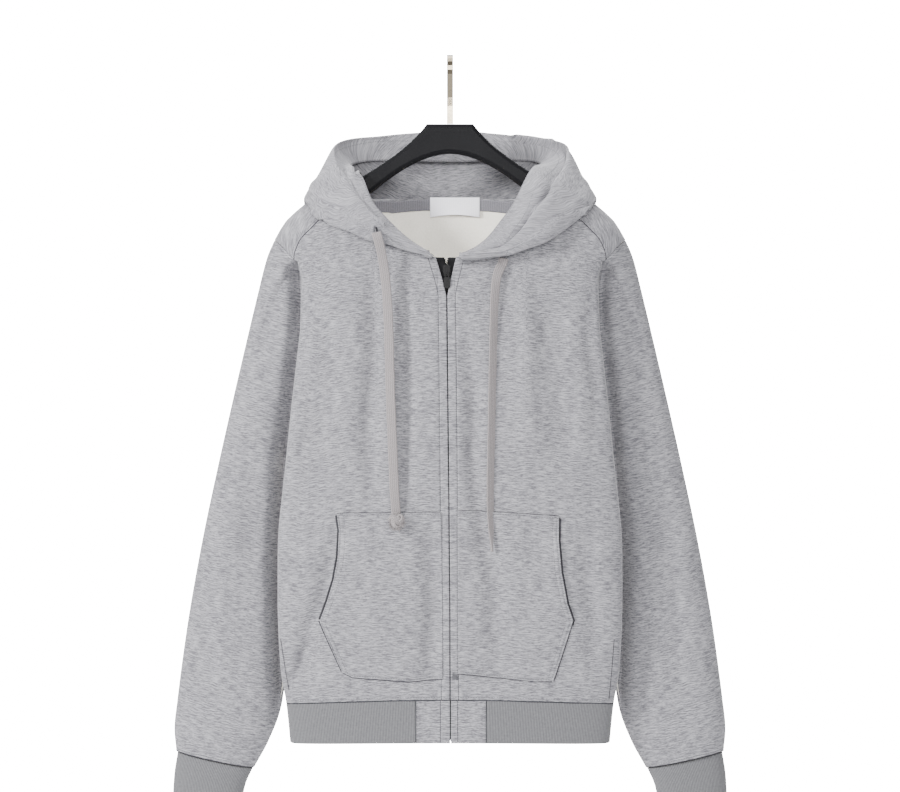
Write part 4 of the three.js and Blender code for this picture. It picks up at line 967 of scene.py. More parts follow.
@dataclass
class Sleeve:
    """One sleeve, from the armhole to the cuff seam."""

    side: Side
    folds: tuple[LongFold, ...]
    rolls: tuple[Roll, ...]
    cloth: float = 2.4
    ease: float = -0.3
    tuck: float = 0.995
    blend: float = 0.3
    recess: float = 24.0
    recess_reach: float = 3.0
    recess_fade: float = 11.0
    clear_walls: float = 4
    room_used: float = 0.8
    rows: int = 190
    ring: int = 46
    outer: tuple[tuple[float, float, float], ...] = (
        (227.5, 1, -238), (238, 8, -262), (253, 14, -314), (277, 19, -418), (301, 22, -523), (323, 22, -627),
        (341.5, 22, -731), (355.5, 20, -836), (359, 19, -872), (356.5, 18, -900),
    )
    inner: tuple[tuple[float, float, float], ...] = (
        (193.5, 0, -479), (203, 9, -497), (208, 19, -540), (210, 23, -620), (213, 23, -730), (219, 20, -840),
        (236, 19, -888), (254.5, 18, -922),
    )
    depths: tuple[SleeveDepth, ...] = (
        SleeveDepth(0, 21), SleeveDepth(0.2, 24), SleeveDepth(0.5, 28), SleeveDepth(0.85, 29),
        SleeveDepth(1, 23),
    )

    def armhole(self) -> Points:
        """Points round the armhole: up the back's edge, over the shoulder and down the front's."""
        side = self.side.value
        ridge = float(BODY.start(1)) + BODY.round * math.pi / 2
        up = np.linspace(BODY.armpit, ridge, self.ring)
        over = np.linspace(ridge, float(BODY.back_end(1)), self.ring // 2)[1:]
        behind = BODY.point(side, 1.0, np.concatenate([up, over]), False)
        top = float(BODY.front_end(BODY.wrap_end)) - BODY.seam_gap
        down = np.linspace(top, BODY.armpit, self.ring + 1)[:-1]
        ahead = BODY.point(side, BODY.wrap_end, down, True)
        return np.concatenate([behind, ahead])

    def angles(self, loop: Points) -> Points:
        """Angle of each armhole point: 0 at the shoulder point, a half turn at the armpit."""
        length = polyline_length(loop)
        total = length[-1] + np.linalg.norm(loop[-1] - loop[0])
        top = int(np.argmax(loop[:, 2]))
        rising = math.pi * length / length[top] - math.pi
        falling = math.pi * (length - length[top]) / (total - length[top])
        return np.where(length <= length[top], rising, falling)

    def grid(self) -> Points:
        """Outer points of the sleeve."""
        side = self.side.value
        loop = self.armhole()
        angle = self.angles(loop)[:, None]
        along = with_edges(np.linspace(0, 1, self.rows), first=(0.0008, 0.002), last=(0.0008, 0.002))
        outer = evenly(self.outer, along)[None]
        inner = evenly(self.inner, along)[None]
        half = read(self.depths, "half", along)[None, :]
        lie = along[None, :] + 0 * angle
        for roll in self.rolls:
            place = roll.at + roll.slant * np.cos(angle)
            half = half + roll.height * np.exp(-(((lie - place) / roll.breadth) ** 2))
        middle, reach = (outer + inner) / 2, (outer - inner) / 2
        wide = flattened(np.cos(angle), 0.9)
        deep = flattened(np.sin(angle), 0.8)
        oval = middle + reach * wide[..., None]
        oval[..., 1] -= half * deep
        for fold in self.folds:
            turn = angle - fold.angle - fold.drift * (lie - fold.start)
            off = np.arctan2(np.sin(turn), np.cos(turn)) / fold.breadth
            run = np.clip((lie - fold.start) / (fold.end - fold.start), 0, 1)
            push = fold.depth * np.sin(math.pi * run) ** 0.8 * np.exp(-off * off)
            oval[..., 1] += push * np.sign(np.sin(fold.angle))
        oval[..., 0] *= side
        blend = np.clip(1 - along / self.blend, 0, 1)[None, :, None] ** 2
        drift = middle - (outer[:, :1] + inner[:, :1]) / 2
        drift = drift * np.array([side, 1, 1])
        held = loop[:, None, :] + drift
        held[..., 0] += side * self.ease
        held[..., 1] *= self.tuck
        points = oval * (1 - blend) + held * blend
        points[..., 1] += self.beside_body(points, angle, along)
        rough = unevenness(angle * 45, along[None, :] * 680, 41 + side, 0.9)
        points[..., 1] -= (
            rough * np.sin(angle) * ramp(0, 0.08, along)[None, :] * ramp(1, 0.97, along)[None, :]
        )
        return points

    def beside_body(self, points: Points, angle: Points, along: Points) -> Points:
        """How far the front of the sleeve draws back beside the body's fold."""
        off = np.abs(points[..., 0]) - read(BODY.sections, "half", points[..., 2]) - self.recess_reach
        near = np.exp(-((np.maximum(off, 0) / self.recess_fade) ** 2))
        ends = ramp(0, 0.022, along)[None, :], ramp(1, 0.9, along)[None, :]
        ahead = ramp(0.14, 0.5, np.sin(angle)) * ends[0] * ends[1]
        push = self.recess * near * ahead * ramp(-246, -285, points[..., 2])
        behind = np.stack([np.interp(-angle[:, 0], angle[:, 0], column) for column in points[..., 1].T], -1)
        room = np.maximum(behind - points[..., 1] - self.clear_walls * self.cloth, 0)
        return np.minimum(push, room * self.room_used)

    def title(self) -> str:
        """The piece's name."""
        return f"long_sleeve_{self.side.word}"

    def sheet(self) -> Sheet:
        """The sleeve's wall, with its grain measured along the arm."""
        points = self.grid()
        start, end = points[:, 0].mean(axis=0), points[:, -1].mean(axis=0)
        axis = unit(end - start)
        along = (points - start) @ axis
        flat = points - along[..., None] * axis
        grain = grain_of(flat)
        grain[..., 1] = along
        return Sheet(points, grain, self.cloth, sign=self.side.value, closed=True)


@dataclass
class Cuff:
    """One ribbed cuff."""

    side: Side
    cloth: float = 2.6
    half: float = 20
    columns: int = 150
    rows: int = 22
    outer: tuple[tuple[float, float, float], ...] = ((354.5, 18, -901.5), (359, 18, -930), (361.5, 18, -972))
    inner: tuple[tuple[float, float, float], ...] = ((256.5, 18, -923), (266.5, 18, -946), (273.5, 18, -984))

    def grid(self) -> Points:
        """Outer points of the cuff."""
        angle = np.linspace(-math.pi, math.pi, self.columns, endpoint=False)[:, None]
        along = with_edges(np.linspace(0, 1, self.rows), first=(0.01, 0.03), last=(0.01, 0.03))
        outer, inner = evenly(self.outer, along)[None], evenly(self.inner, along)[None]
        wide = flattened(np.cos(angle), 0.9)
        deep = flattened(np.sin(angle), 0.8)
        points = (outer + inner) / 2 + (outer - inner) / 2 * wide[..., None]
        belly = 1.2 * np.sin(math.pi * along)[None, :]
        points[..., 1] -= (self.half - 2 * along[None, :] + belly) * deep
        points[..., 0] *= self.side.value
        return points

    def title(self) -> str:
        """The piece's name."""
        return f"ribbed_cuff_{self.side.word}"

    def sheet(self) -> Sheet:
        """The cuff's wall."""
        points = self.grid()
        return Sheet(points, rib_grain_of(points), self.cloth, sign=self.side.value, closed=True)


SLEEVE_ROLLS_LEFT = (
    Roll(0.93, 4.0, 0.028, 0.012), Roll(0.865, 2.6, 0.022, -0.016), Roll(0.8, 2.5, 0.036, 0.02),
    Roll(0.56, 2.0, 0.05, -0.03),
)
SLEEVE_ROLLS_RIGHT = (
    Roll(0.935, 4.0, 0.026, -0.012), Roll(0.87, 2.6, 0.024, 0.02), Roll(0.79, 2.4, 0.034, -0.02),
    Roll(0.58, 2.0, 0.05, 0.03),
)
SLEEVE_FOLDS_LEFT = (
    LongFold(1.5, 0.3, 0.72, 0.3, 4.0, 0.5), LongFold(1.1, 0.66, 0.97, 0.22, 3.4, -0.8),
    LongFold(2.1, 0.1, 0.5, 0.28, 3.0, -0.4), LongFold(-1.4, 0.2, 0.8, 0.32, 4.0, 0.4),
    LongFold(-2.0, 0.5, 0.95, 0.25, 3.0, -0.5),
)
SLEEVE_FOLDS_RIGHT = (
    LongFold(1.25, 0.42, 0.96, 0.24, 4.4, 0.3), LongFold(1.9, 0.2, 0.62, 0.3, 3.2, 0.5),
    LongFold(2.2, 0.6, 0.95, 0.2, 2.8, -0.6), LongFold(-1.6, 0.15, 0.75, 0.32, 4.0, -0.4),
    LongFold(-1.1, 0.5, 0.95, 0.25, 3.0, 0.5),
)


# Hem


@dataclass
class HemBand:
    """The ribbed hem band and the two plain tabs beside the zip."""

    rib_cloth: float = 2.6
    tab_cloth: float = 2.4
    end: float = -881
    tab_left: tuple[float, float] = (0.1, -43.5)
    tab_right: tuple[float, float] = (1.3, 46.3)
    level: float = 4.0
    rows: int = 26

    def shape(self, side: int, share: Points, front: bool) -> Points:
        """Outer points of the hem at places across."""
        down = with_edges(np.linspace(0, 1, self.rows), first=(0.006, 0.02), last=(0.006, 0.02))
        top = BODY.foot(share)[:, None] - BODY.seam_gap
        fall = self.end - BODY.hem_seam + self.level * np.minimum(share, 1)[:, None] ** 2
        path = top + fall * down[None, :]
        points = BODY.point(side, share[:, None], path, front)
        points[..., 1] *= 1 - 0.012 * np.sin(math.pi * down)[None, :]
        return points

    def rib(self) -> Points:
        """Outer points of the rib, from the left tab round the back to the right one."""
        half = float(read(BODY.sections, "half", BODY.hem_seam))
        parts = []
        for side, (_, outer) in ((-1, self.tab_left), (1, self.tab_right)):
            first = (abs(outer) + BODY.seam_gap) / half
            ahead = self.shape(side, with_edges(np.linspace(first, 1, 54), first=(0.001, 0.004)), True)
            wrap = self.shape(side, np.linspace(1, BODY.wrap_end, 7)[1:], True)
            behind = self.shape(side, np.linspace(0.985, 0, 66), False)
            parts.append(np.concatenate([ahead, wrap, behind]))
        left, right = parts
        return np.concatenate([left, right[::-1][1:]])

    def tab(self, side: int, inner: float, outer: float) -> Points:
        """Outer points of a tab, from the zip outwards."""
        half = float(read(BODY.sections, "half", BODY.hem_seam))
        across = with_edges(np.linspace(0, 1, 24), first=(0.006, 0.02), last=(0.006, 0.02))
        x = inner + (outer - inner) * across
        points = self.shape(side, np.abs(x) / half, True)
        points[..., 0] = x[:, None]
        return points

    def sheets(self) -> dict[str, Sheet]:
        """The three walls by name."""
        rib, left, right = self.rib(), self.tab(-1, *self.tab_left), self.tab(1, *self.tab_right)
        return {
            "hem_band": Sheet(rib, rib_grain_of(rib), self.rib_cloth, sign=1),
            "hem_end_left": Sheet(left, grain_of(left), self.tab_cloth, sign=1),
            "hem_end_right": Sheet(right, grain_of(right), self.tab_cloth, sign=-1),
        }


# Hood


@dataclass(frozen=True)
class HoodRow:
    """One section of the hood, by where it starts on the neckline and the points that it passes."""

    side: int
    turn: float
    drop: float
    fold: tuple[float, float, float]
    edge: tuple[float, float, float]
    rim: tuple[float, float, float]


@dataclass(frozen=True)
class NamedRow:
    """A place along the hood or neckline, with the values held there."""

    at: float
    round: float = 0.0
    drop: float = 0.0
    share: float = 0.0
    path: float = 0.0


HOOD_ROWS = (
    HoodRow(-1, 0.065, 3, (21, -57, -264), (24, -58.5, -260.5), (27, -56.5, -256)),
    HoodRow(-1, 0.155, 4, (49, -61.5, -257), (53, -63, -249), (50, -57, -241.5)),
    HoodRow(-1, 0.24, 9, (71, -64.5, -250), (77, -66, -229), (72, -56, -221)),
    HoodRow(-1, 0.335, 8, (99, -66, -243.5), (96, -63, -210), (90, -49, -202)),
    HoodRow(-1, 0.42, 3, (124, -63, -234), (110, -56.5, -194), (103, -44, -187)),
    HoodRow(-1, 0.5, 0, (152, -52, -222), (122, -43.5, -176), (114, -32, -171)),
    HoodRow(-1, 0.58, 0, (177, -28, -203), (134, -25, -157), (124, -19, -155)),
    HoodRow(-1, 0.65, 0, (190, 3, -185), (149, 0, -137), (124, 10, -141)),
    HoodRow(-1, 0.72, 0, (187, 38, -200), (156, 24, -116), (130, 32, -137)),
    HoodRow(-1, 0.8, 0, (172, 66, -232), (151, 43, -104), (123, 55, -131)),
    HoodRow(-1, 0.89, 0, (120, 85, -274), (96, 71, -93), (82, 67, -126)),
    HoodRow(1, 1, 0, (0, 94, -300), (0, 83, -84), (0, 77, -129)),
    HoodRow(1, 0.89, 0, (120, 85, -274), (96, 71, -93), (80, 67, -126)),
    HoodRow(1, 0.8, 0, (172, 66, -232), (152, 43, -105), (118, 56, -130)),
    HoodRow(1, 0.72, 0, (187, 38, -200), (158, 24, -118), (118, 38, -136)),
    HoodRow(1, 0.65, 0, (190, 3, -185), (150, -1, -140), (108, 10, -140)),
    HoodRow(1, 0.58, 0, (179, -28, -202), (136, -27, -162), (100, -15.5, -152)),
    HoodRow(1, 0.5, 0, (157, -50, -220), (124, -48, -186), (91, -22, -170)),
    HoodRow(1, 0.42, 3, (131, -63, -240), (108, -60, -205), (80, -36, -195)),
    HoodRow(1, 0.335, 10, (103, -66.5, -252.5), (90, -66, -231), (64, -47, -215)),
    HoodRow(1, 0.24, 18, (74, -65, -261), (67, -66, -250), (51, -55, -234)),
    HoodRow(1, 0.13, 11, (41, -62, -266.5), (38, -63, -260), (30, -57, -252)),
    HoodRow(1, 0.035, 7, (11, -58, -268), (11, -59, -264), (12, -57, -259)),
)


@dataclass(frozen=True)
class HoodWave:
    """A soft wave of the hood: its place along the neck, and its middle, breadth and height."""

    at: float
    run: float
    breadth: float
    height: float


HOOD_WAVES = (
    HoodWave(0.06, 0.62, 0.010, -1.6), HoodWave(0.13, 0.6, 0.012, 1.4), HoodWave(0.2, 0.64, 0.014, -1.8),
    HoodWave(0.3, 0.6, 0.016, 1.6), HoodWave(0.7, 0.6, 0.016, -1.8), HoodWave(0.79, 0.62, 0.014, 1.6),
    HoodWave(0.86, 0.66, 0.012, -1.8), HoodWave(0.93, 0.62, 0.010, 1.2), HoodWave(0.42, 0.6, 0.02, 2.0),
    HoodWave(0.56, 0.62, 0.022, -2.0), HoodWave(0.5, 0.66, 0.015, 1.6),
)


@dataclass
class Neckline:
    """The neckline by share of its length, from the front middle over the shoulder to the back middle."""

    places: int = 24
    back_power: float = 24
    ahead: list[NamedRow] = field(default_factory=list)
    behind: list[NamedRow] = field(default_factory=list)

    def __post_init__(self) -> None:
        """Work out the two stretches."""
        angle = np.linspace(0, math.pi / 2, self.places + 1)
        share = BODY.neck * np.sin(angle)
        front = (share, BODY.front_end(share))
        last = float(BODY.back_end(BODY.neck))
        bend = 2 / self.back_power
        back_path = last + (BODY.neck_back - last) * np.sin(angle) ** bend
        back = (BODY.neck * np.maximum(0, np.cos(angle)) ** bend, back_path)
        points = np.concatenate([BODY.point(1, *front, True), BODY.point(1, *back, False)])
        length = polyline_length(points)
        at = length / length[-1]
        count = len(angle)
        self.ahead = [NamedRow(a, share=s, path=p) for a, s, p in zip(at[:count], *front)]
        self.behind = [NamedRow(a, share=s, path=p) for a, s, p in zip(at[count:], *back)]

    def point(self, side: int, turn: float, drop: float) -> Points:
        """A point of the neckline, or below it on the body."""
        front = turn <= self.behind[0].at
        table = self.ahead if front else self.behind
        at = float(np.clip(turn, table[0].at, table[-1].at))
        return BODY.point(side, float(read(table, "share", at)), float(read(table, "path", at)) - drop, front)


NECKLINE = Neckline()


@dataclass
class Hood:
    """The hood, lying back over the shoulders in one piece, with its turned-in edge."""

    cloth: float = 3.2
    steps: int = 9
    rows: int = 84
    fold_round: float = 8
    edge_round: float = 5
    belly: float = 7
    clear: float = 5.4
    neck_gap: float = 0.6
    neck_lift: float = 3
    hold: float = 5
    fade: float = 14
    under_end: float = 0.3
    over_start: float = 0.5
    hollow: float = 15.0
    hollow_at: float = 0.83
    hollow_breadth: float = 0.06
    wave_slant: float = 0.03
    wave_length: float = 0.16
    passes: int = 30
    full_section: float = 40
    full_band: float = 16
    plain_below: float = 0.35

    def section(self, side: int, turn: float, drop: float, fold: Points, edge: Points, end: Points) -> Points:
        """The points that one section passes: foot, under side, lower fold, outer side, edge and band."""
        foot = NECKLINE.point(side, turn, drop)
        lift = min(1.0, drop / self.neck_lift)
        foot[1] -= lift * (self.cloth + self.neck_gap) + ((1 - lift) * self.neck_lift if foot[1] < 0 else 0)
        foot[2] += (1 - lift) * self.neck_lift
        scale = min(1.0, float(np.linalg.norm(foot - fold)) / self.full_section)
        outward = unit(fold - (foot + edge) / 2)
        across = edge - foot
        across = unit(across - outward * across.dot(outward))
        base = fold - outward * self.fold_round * scale
        under = base - across * self.fold_round * scale
        over = base + across * self.fold_round * scale
        middle_under = (foot + under) / 2 + across * 3 * scale
        belly = (over + edge) / 2 + outward * self.belly * scale
        rise = unit(edge - over)
        inward = end - edge
        inward = unit(inward - rise * inward.dot(rise))
        edge_scale = min(1.0, float(np.linalg.norm(end - edge)) / self.full_band)
        before = edge - rise * self.edge_round * edge_scale
        after = before + inward * self.edge_round * 1.6 * edge_scale
        crest = edge + inward * self.edge_round * 0.8 * edge_scale
        if scale < self.plain_below:
            return np.array([foot, (foot + fold) / 2, fold, (fold + edge) / 2, edge, end])
        return np.array([foot, middle_under, under, fold, over, belly, before, crest, after, end])

    def shoulder_top(self, x: Points, y: Points) -> Points:
        """Height of the shoulder's outer face, seen from above."""
        ridge = BODY.ridge(np.abs(x))
        share = np.minimum(np.abs(x) / (BODY.half + BODY.tip), 1)
        ahead = BODY.point(1, share, BODY.start(share), True)[..., 1]
        behind = BODY.point(1, share, BODY.start(share), False)[..., 1]
        off = np.minimum(np.abs(y / np.where(y < 0, ahead, behind)), 1)
        return ridge - BODY.round * (1 - np.sqrt(1 - off * off))

    def body_depth(self, x: Points, z: Points, front: Points) -> Points:
        """Depth of the body's outer face, seen from the front or the back."""
        ridge = BODY.ridge(np.abs(x))
        below = np.clip((ridge - z) / BODY.round, 0, 1)
        half = read(BODY.sections, "half", z) + BODY.tip * (1 - below) ** BODY.tip_power
        share = np.minimum(np.abs(x) / half, 1)
        lean = np.sqrt(1 - (1 - below) ** 2)
        path = np.minimum(z, BODY.start(share))
        ahead = BODY.point(1, share, path, True)[..., 1]
        behind = BODY.point(1, share, path, False)[..., 1]
        return np.abs(np.where(front, ahead, behind)) * lean

    def over_cloth(self, points: Points) -> Points:
        """How far each point stands over the body's cloth: one outside the neckline, none well within."""
        x, y, z = (points[..., k] for k in range(3))
        ridge = self.shoulder_top(x, np.full_like(x, 1e-6))
        below = np.clip((ridge - z) / BODY.round, 0, 1)
        half = BODY.half + BODY.tip * (1 - below) ** BODY.tip_power
        share = np.abs(x) / half
        inside = (BODY.neck - share) * half
        front_neck = BODY.front_end(np.minimum(share, BODY.neck - 0.001))
        above = z - np.where(y < 0, front_neck, BODY.neck_back)
        return 1 - np.clip((np.minimum(inside, above) - self.hold) / self.fade, 0, 1)

    def lift_off(self, points: Points) -> Points:
        """Move the hood off the body where it would touch."""
        share = np.linspace(0, 1, points.shape[1])[None, :]
        layer = ramp(self.under_end, self.over_start, share) + np.zeros(points.shape[:2])
        x, y, z = (points[..., k] for k in range(3))
        high = self.clear + layer * (2 * self.cloth + self.clear)
        offset = -BODY.round + (high + BODY.round) * self.over_cloth(points)
        top = self.shoulder_top(x, y) + offset
        depth = self.body_depth(x, z, y < 0) + offset
        up, out = top - z, depth - np.abs(y)
        touching = (up > 0) & (out > 0)
        touching[:, 0] = False
        moved = points.copy()
        moved[..., 2] = np.where(touching & (up < out), top, z)
        moved[..., 1] = np.where(touching & (up >= out), np.sign(y) * depth, y)
        shift = moved - points
        for _ in range(self.steps // 2):
            shift[1:-1] = (shift[:-2] + 2 * shift[1:-1] + shift[2:]) / 4
            shift[:, 1:-1] = (shift[:, :-2] + 2 * shift[:, 1:-1] + shift[:, 2:]) / 4
        return points + shift

    def grid(self) -> Points:
        """Outer points of the hood."""
        count = (len(HOOD_ROWS) - 1) * self.steps
        share = np.linspace(0, 1, count + 1)
        lines = [
            through([(row.side * getattr(row, name)[0], *getattr(row, name)[1:]) for row in HOOD_ROWS], share)
            for name in ("fold", "edge", "rim")
        ]
        held = [
            NamedRow(i, round=row.turn if row.side < 0 else 2 - row.turn, drop=row.drop)
            for i, row in enumerate(HOOD_ROWS)
        ]
        at = share * (len(HOOD_ROWS) - 1)
        turns = read(held, "round", at)
        drops = np.interp(at, range(len(HOOD_ROWS)), [row.drop for row in HOOD_ROWS])
        down = with_edges(np.linspace(0, 1, self.rows), first=(0.002,), last=(0.001, 0.004))
        columns = []
        for i, turn in enumerate(turns):
            side = -1 if turn < 1 else 1
            place = float(turn if turn < 1 else 2 - turn)
            points = self.section(side, place, float(drops[i]), *(line[i] for line in lines))
            columns.append(through(points, down))
        return self.creased(self.eased(self.lift_off(np.array(columns)), down), share)

    def eased(self, points: Points, down: Points) -> Points:
        """Even out the columns near the free edge."""
        soft = points.copy()
        for _ in range(self.passes):
            soft[1:-1] = (soft[:-2] + 2 * soft[1:-1] + soft[2:]) / 4
        hold = ramp(0.5, 0.64, down)[None, :, None]
        return points * (1 - hold) + soft * hold

    def creased(self, points: Points, share: Points) -> Points:
        """Soft folds and unevenness of the hood, fading at its foot and edge."""
        sheet = Sheet(points, np.zeros((*points.shape[:2], 2)), self.cloth, sign=-1)
        normals = sheet.normals()
        grain = grain_of(points)
        down = np.linspace(0, 1, points.shape[1])[None, :]
        rough = unevenness(grain[..., 0], grain[..., 1], 53, 1.0)
        fade = ramp(0, 0.12, down) * ramp(0.86, 0.68, down)
        push = rough * fade
        for wave in HOOD_WAVES:
            off = (share[:, None] - wave.at - self.wave_slant * (down - wave.run)) / wave.breadth
            reach = np.exp(-(((down - wave.run) / self.wave_length) ** 2))
            push = push + wave.height * np.exp(-off * off) * reach * fade
        hollow = ramp(0.56, 0.66, share) * ramp(0.97, 0.8, share)
        moved = points + normals * push[..., None]
        reach = np.exp(-(((down - self.hollow_at) / self.hollow_breadth) ** 2))
        moved[..., 1] += self.hollow * hollow[:, None] * reach
        return moved

    def sheet(self) -> Sheet:
        """The hood's wall."""
        points = self.grid()
        return Sheet(points, grain_of(points), self.cloth, sign=-1)


# Neck tape, label and zip


def inside_back(x: Points, z: Points, depth: float) -> Points:
    """Points inside the back neck, a distance in from the back's outer face."""
    share = np.minimum(np.abs(x) / BODY.half, 0.99)
    y = BODY.point(1, share, z, False)[..., 1] - depth
    return np.stack([x, y, z], axis=-1)


@dataclass
class NeckTrim:
    """The tape over the back neck seam, and the blank label sewn on it."""

    cloth: float = 2.4
    tape_thick: float = 1.0
    tape_clear: float = 1.3
    tape_height: float = 14.5
    tape_half: float = 99
    tape_level: float = 80
    label_box: tuple[float, float, float, float] = (-26, 39, -179, 26)
    label_bow: float = 4.5

    def tape(self) -> Sheet:
        """The tape's wall."""
        x = with_edges(np.linspace(-self.tape_half, self.tape_half, 90), first=(0.3,), last=(0.3,))
        down = with_edges(np.linspace(0, 1, 12), first=(0.03,), last=(0.03,))
        top = []
        for at in x:
            turn = 1 - math.asin(min(abs(at), self.tape_level) / BODY.half / BODY.neck) / math.pi
            top.append(NECKLINE.point(1 if at >= 0 else -1, turn, 0)[2] + 3)
        z = np.array(top)[:, None] - self.tape_height * down[None, :]
        points = inside_back(x[:, None] + np.zeros_like(z), z, self.cloth + self.tape_clear)
        return Sheet(points, grain_of(points), self.tape_thick, sign=1)

    def label(self) -> Sheet:
        """The label's wall, flat at the top and bowed off the tape towards its foot."""
        left, right, top, height = self.label_box
        across = with_edges(np.linspace(0, 1, 40), first=(0.006,), last=(0.006,))
        down = with_edges(np.linspace(0, 1, 24), first=(0.015,), last=(0.015,))
        x = (left + (right - left) * across)[:, None] + np.zeros((1, len(down)))
        z = (top - height * down)[None, :] + np.zeros_like(x)
        z = z + (2.8 * np.sin(math.pi * across)[:, None] * down[None, :] ** 2)
        depth = self.cloth + self.tape_thick + self.tape_clear + BODY.seam_gap
        points = inside_back(x, z, depth)
        points[..., 1] -= self.label_bow * np.sin(math.pi * across)[:, None] * down[None, :] ** 2
        return Sheet(points, grain_of(points), 1.0, sign=1)


@dataclass
class Zip:
    """The zip's two tapes with their rows of teeth."""

    thick: float = 1.0
    breadth: float = 12
    top: float = -263
    end: float = -879
    slider_top: float = -273
    clear: float = 1.3
    cloth: float = 2.4
    pitch: float = 2.6

    def tape(self, side: int) -> Points:
        """Outer points of a tape, from the zip's middle outwards."""
        across = with_edges(np.linspace(0, 1, 14), first=(0.02,), last=(0.02,))
        z = self.end + (self.top - self.end) * np.linspace(0, 1, 150) ** 0.85
        spread = np.maximum(0, z - self.slider_top) * 0.25
        middle = read(BODY.zip_line, "middle", z) + side * (BODY.seam_gap * 0.7 + spread)
        x = middle[None, :] + side * across[:, None] * self.breadth
        share = across[:, None] * self.breadth / read(BODY.sections, "half", z)[None, :]
        y = BODY.point(side, share, z[None, :] + 0 * share, True)[..., 1] + self.cloth + self.clear
        return np.stack([x, y, z[None, :] + 0 * x], axis=-1)

    def sheet(self, side: int) -> Sheet:
        """A tape's wall."""
        points = self.tape(side)
        return Sheet(points, grain_of(points), self.thick, sign=side)

    def teeth(self, side: int) -> tuple[Points, list[list[int]]]:
        """Corners and faces of one row of teeth."""
        edge = self.tape(side)[0]
        length = polyline_length(edge)
        at = np.arange(self.pitch, length[-1] - 1, self.pitch) + (self.pitch / 2 if side > 0 else 0)
        corners, faces = [], []
        for distance in at:
            x, y, z = (float(np.interp(distance, length, edge[:, k])) for k in range(3))
            inward = -side
            for px, half in ((1.5, 0.72), (-0.4, 0.72), (-1.0, 0.95), (-1.9, 0.8)):
                for dy, dz in ((-1.0, -1), (-1.0, 1), (0.9, 1), (0.9, -1)):
                    corners.append((x - inward * px * 0.55, y + dy * 0.75, z + dz * half * 0.9))
            base = len(corners) - 16
            for ring in range(3):
                for k in range(4):
                    a, b = base + ring * 4 + k, base + ring * 4 + (k + 1) % 4
                    faces.append([a, b, b + 4, a + 4])
            faces.append([base + k for k in (3, 2, 1, 0)])
            faces.append([base + 12 + k for k in range(4)])
        return np.array(corners), faces


# Cords


def closed_tube(points: Points, off: Points, length: Points) -> tuple[Points, list[list[int]], Points]:
    """A tube through rings of points, closed at both ends.

    Args:
        points: the rings, shaped (rings, points, 3).
        off: how far across the tube each point lies.
        length: how far along the tube each ring lies.

    Returns:
        Its corners, its faces and each corner's grain.
    """
    rings, ring = points.shape[:2]
    index = np.arange(rings * ring).reshape(rings, ring)
    turned = np.roll(index, -1, axis=1)
    faces = np.stack([index[:-1], index[1:], turned[1:], turned[:-1]], -1).reshape(-1, 4).tolist()
    faces += [index[0].tolist(), index[-1][::-1].tolist()]
    grain = np.stack([np.broadcast_to(off, (rings, ring)), np.repeat(length[:, None], ring, 1)], axis=-1)
    return points.reshape(-1, 3), faces, grain.reshape(-1, 2)


@dataclass
class DrawCord:
    """A flat braided cord."""

    name: str
    route: CordRoute
    wide: float = 12.0
    thick: float = 2.4
    steps: int = 300
    ring: int = 24

    def centre(self) -> Points:
        """The cord's middle line, in millimetres."""
        return evenly(np.array(self.route.points) * 1000, np.linspace(0, 1, self.steps))

    def directions(self, centre: Points) -> tuple[Points, Points]:
        """Directions across the cord's flat face, and out of it."""
        along = unit(np.gradient(centre, axis=0))
        ahead = np.tile(TO_FRONT, (len(centre), 1))
        face = unit(ahead - along * np.sum(ahead * along, axis=1, keepdims=True))
        across = np.cross(along, face)
        share = np.linspace(0, 1, len(centre))
        places, degrees = zip(*self.route.twist)
        turn = np.radians(np.interp(share, places, degrees))
        cos, sin = np.cos(turn)[:, None], np.sin(turn)[:, None]
        return across * cos + face * sin, face * cos - across * sin

    def build(self, finish: bpy.types.Material) -> bpy.types.Object:
        """Make the cord as a closed ribbon."""
        centre = self.centre()
        across, face = self.directions(centre)
        length = polyline_length(centre)
        share = length / length[-1]
        narrow = np.ones_like(share)
        if self.route.taper:
            narrow = 1 - 0.72 * ramp(1 - self.route.taper, 1, share)
        wave = 1 + 0.018 * np.sin(length / 7.0) + 0.012 * np.sin(length / 2.9 + 1)
        angle = np.linspace(0, 2 * math.pi, self.ring, endpoint=False)
        wide = flattened(np.cos(angle), 0.55)
        deep = flattened(np.sin(angle), 0.75)
        half_wide = (self.wide / 2 * narrow * wave)[:, None, None]
        half_thick = (self.thick / 2 * (1 + 0.5 * (1 - narrow)))[:, None, None]
        points = (
            centre[:, None] + across[:, None] * wide[None, :, None] * half_wide
            + face[:, None] * deep[None, :, None] * half_thick
        )
        corners, faces, grain = closed_tube(points, wide[None, :] * self.wide / 2, length)
        return make_object(self.name, corners, faces, [0] * len(faces), grain, [finish])

    def declare(self, piece: bpy.types.Object, pieces: Sequence[bpy.types.Object] = ()) -> None:
        """Work out the cord's path and first point; nothing more is done with them."""
        path = evenly(np.array(self.route.points), np.linspace(0, 1, 60))
        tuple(self.route.points[0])
        list(pieces)


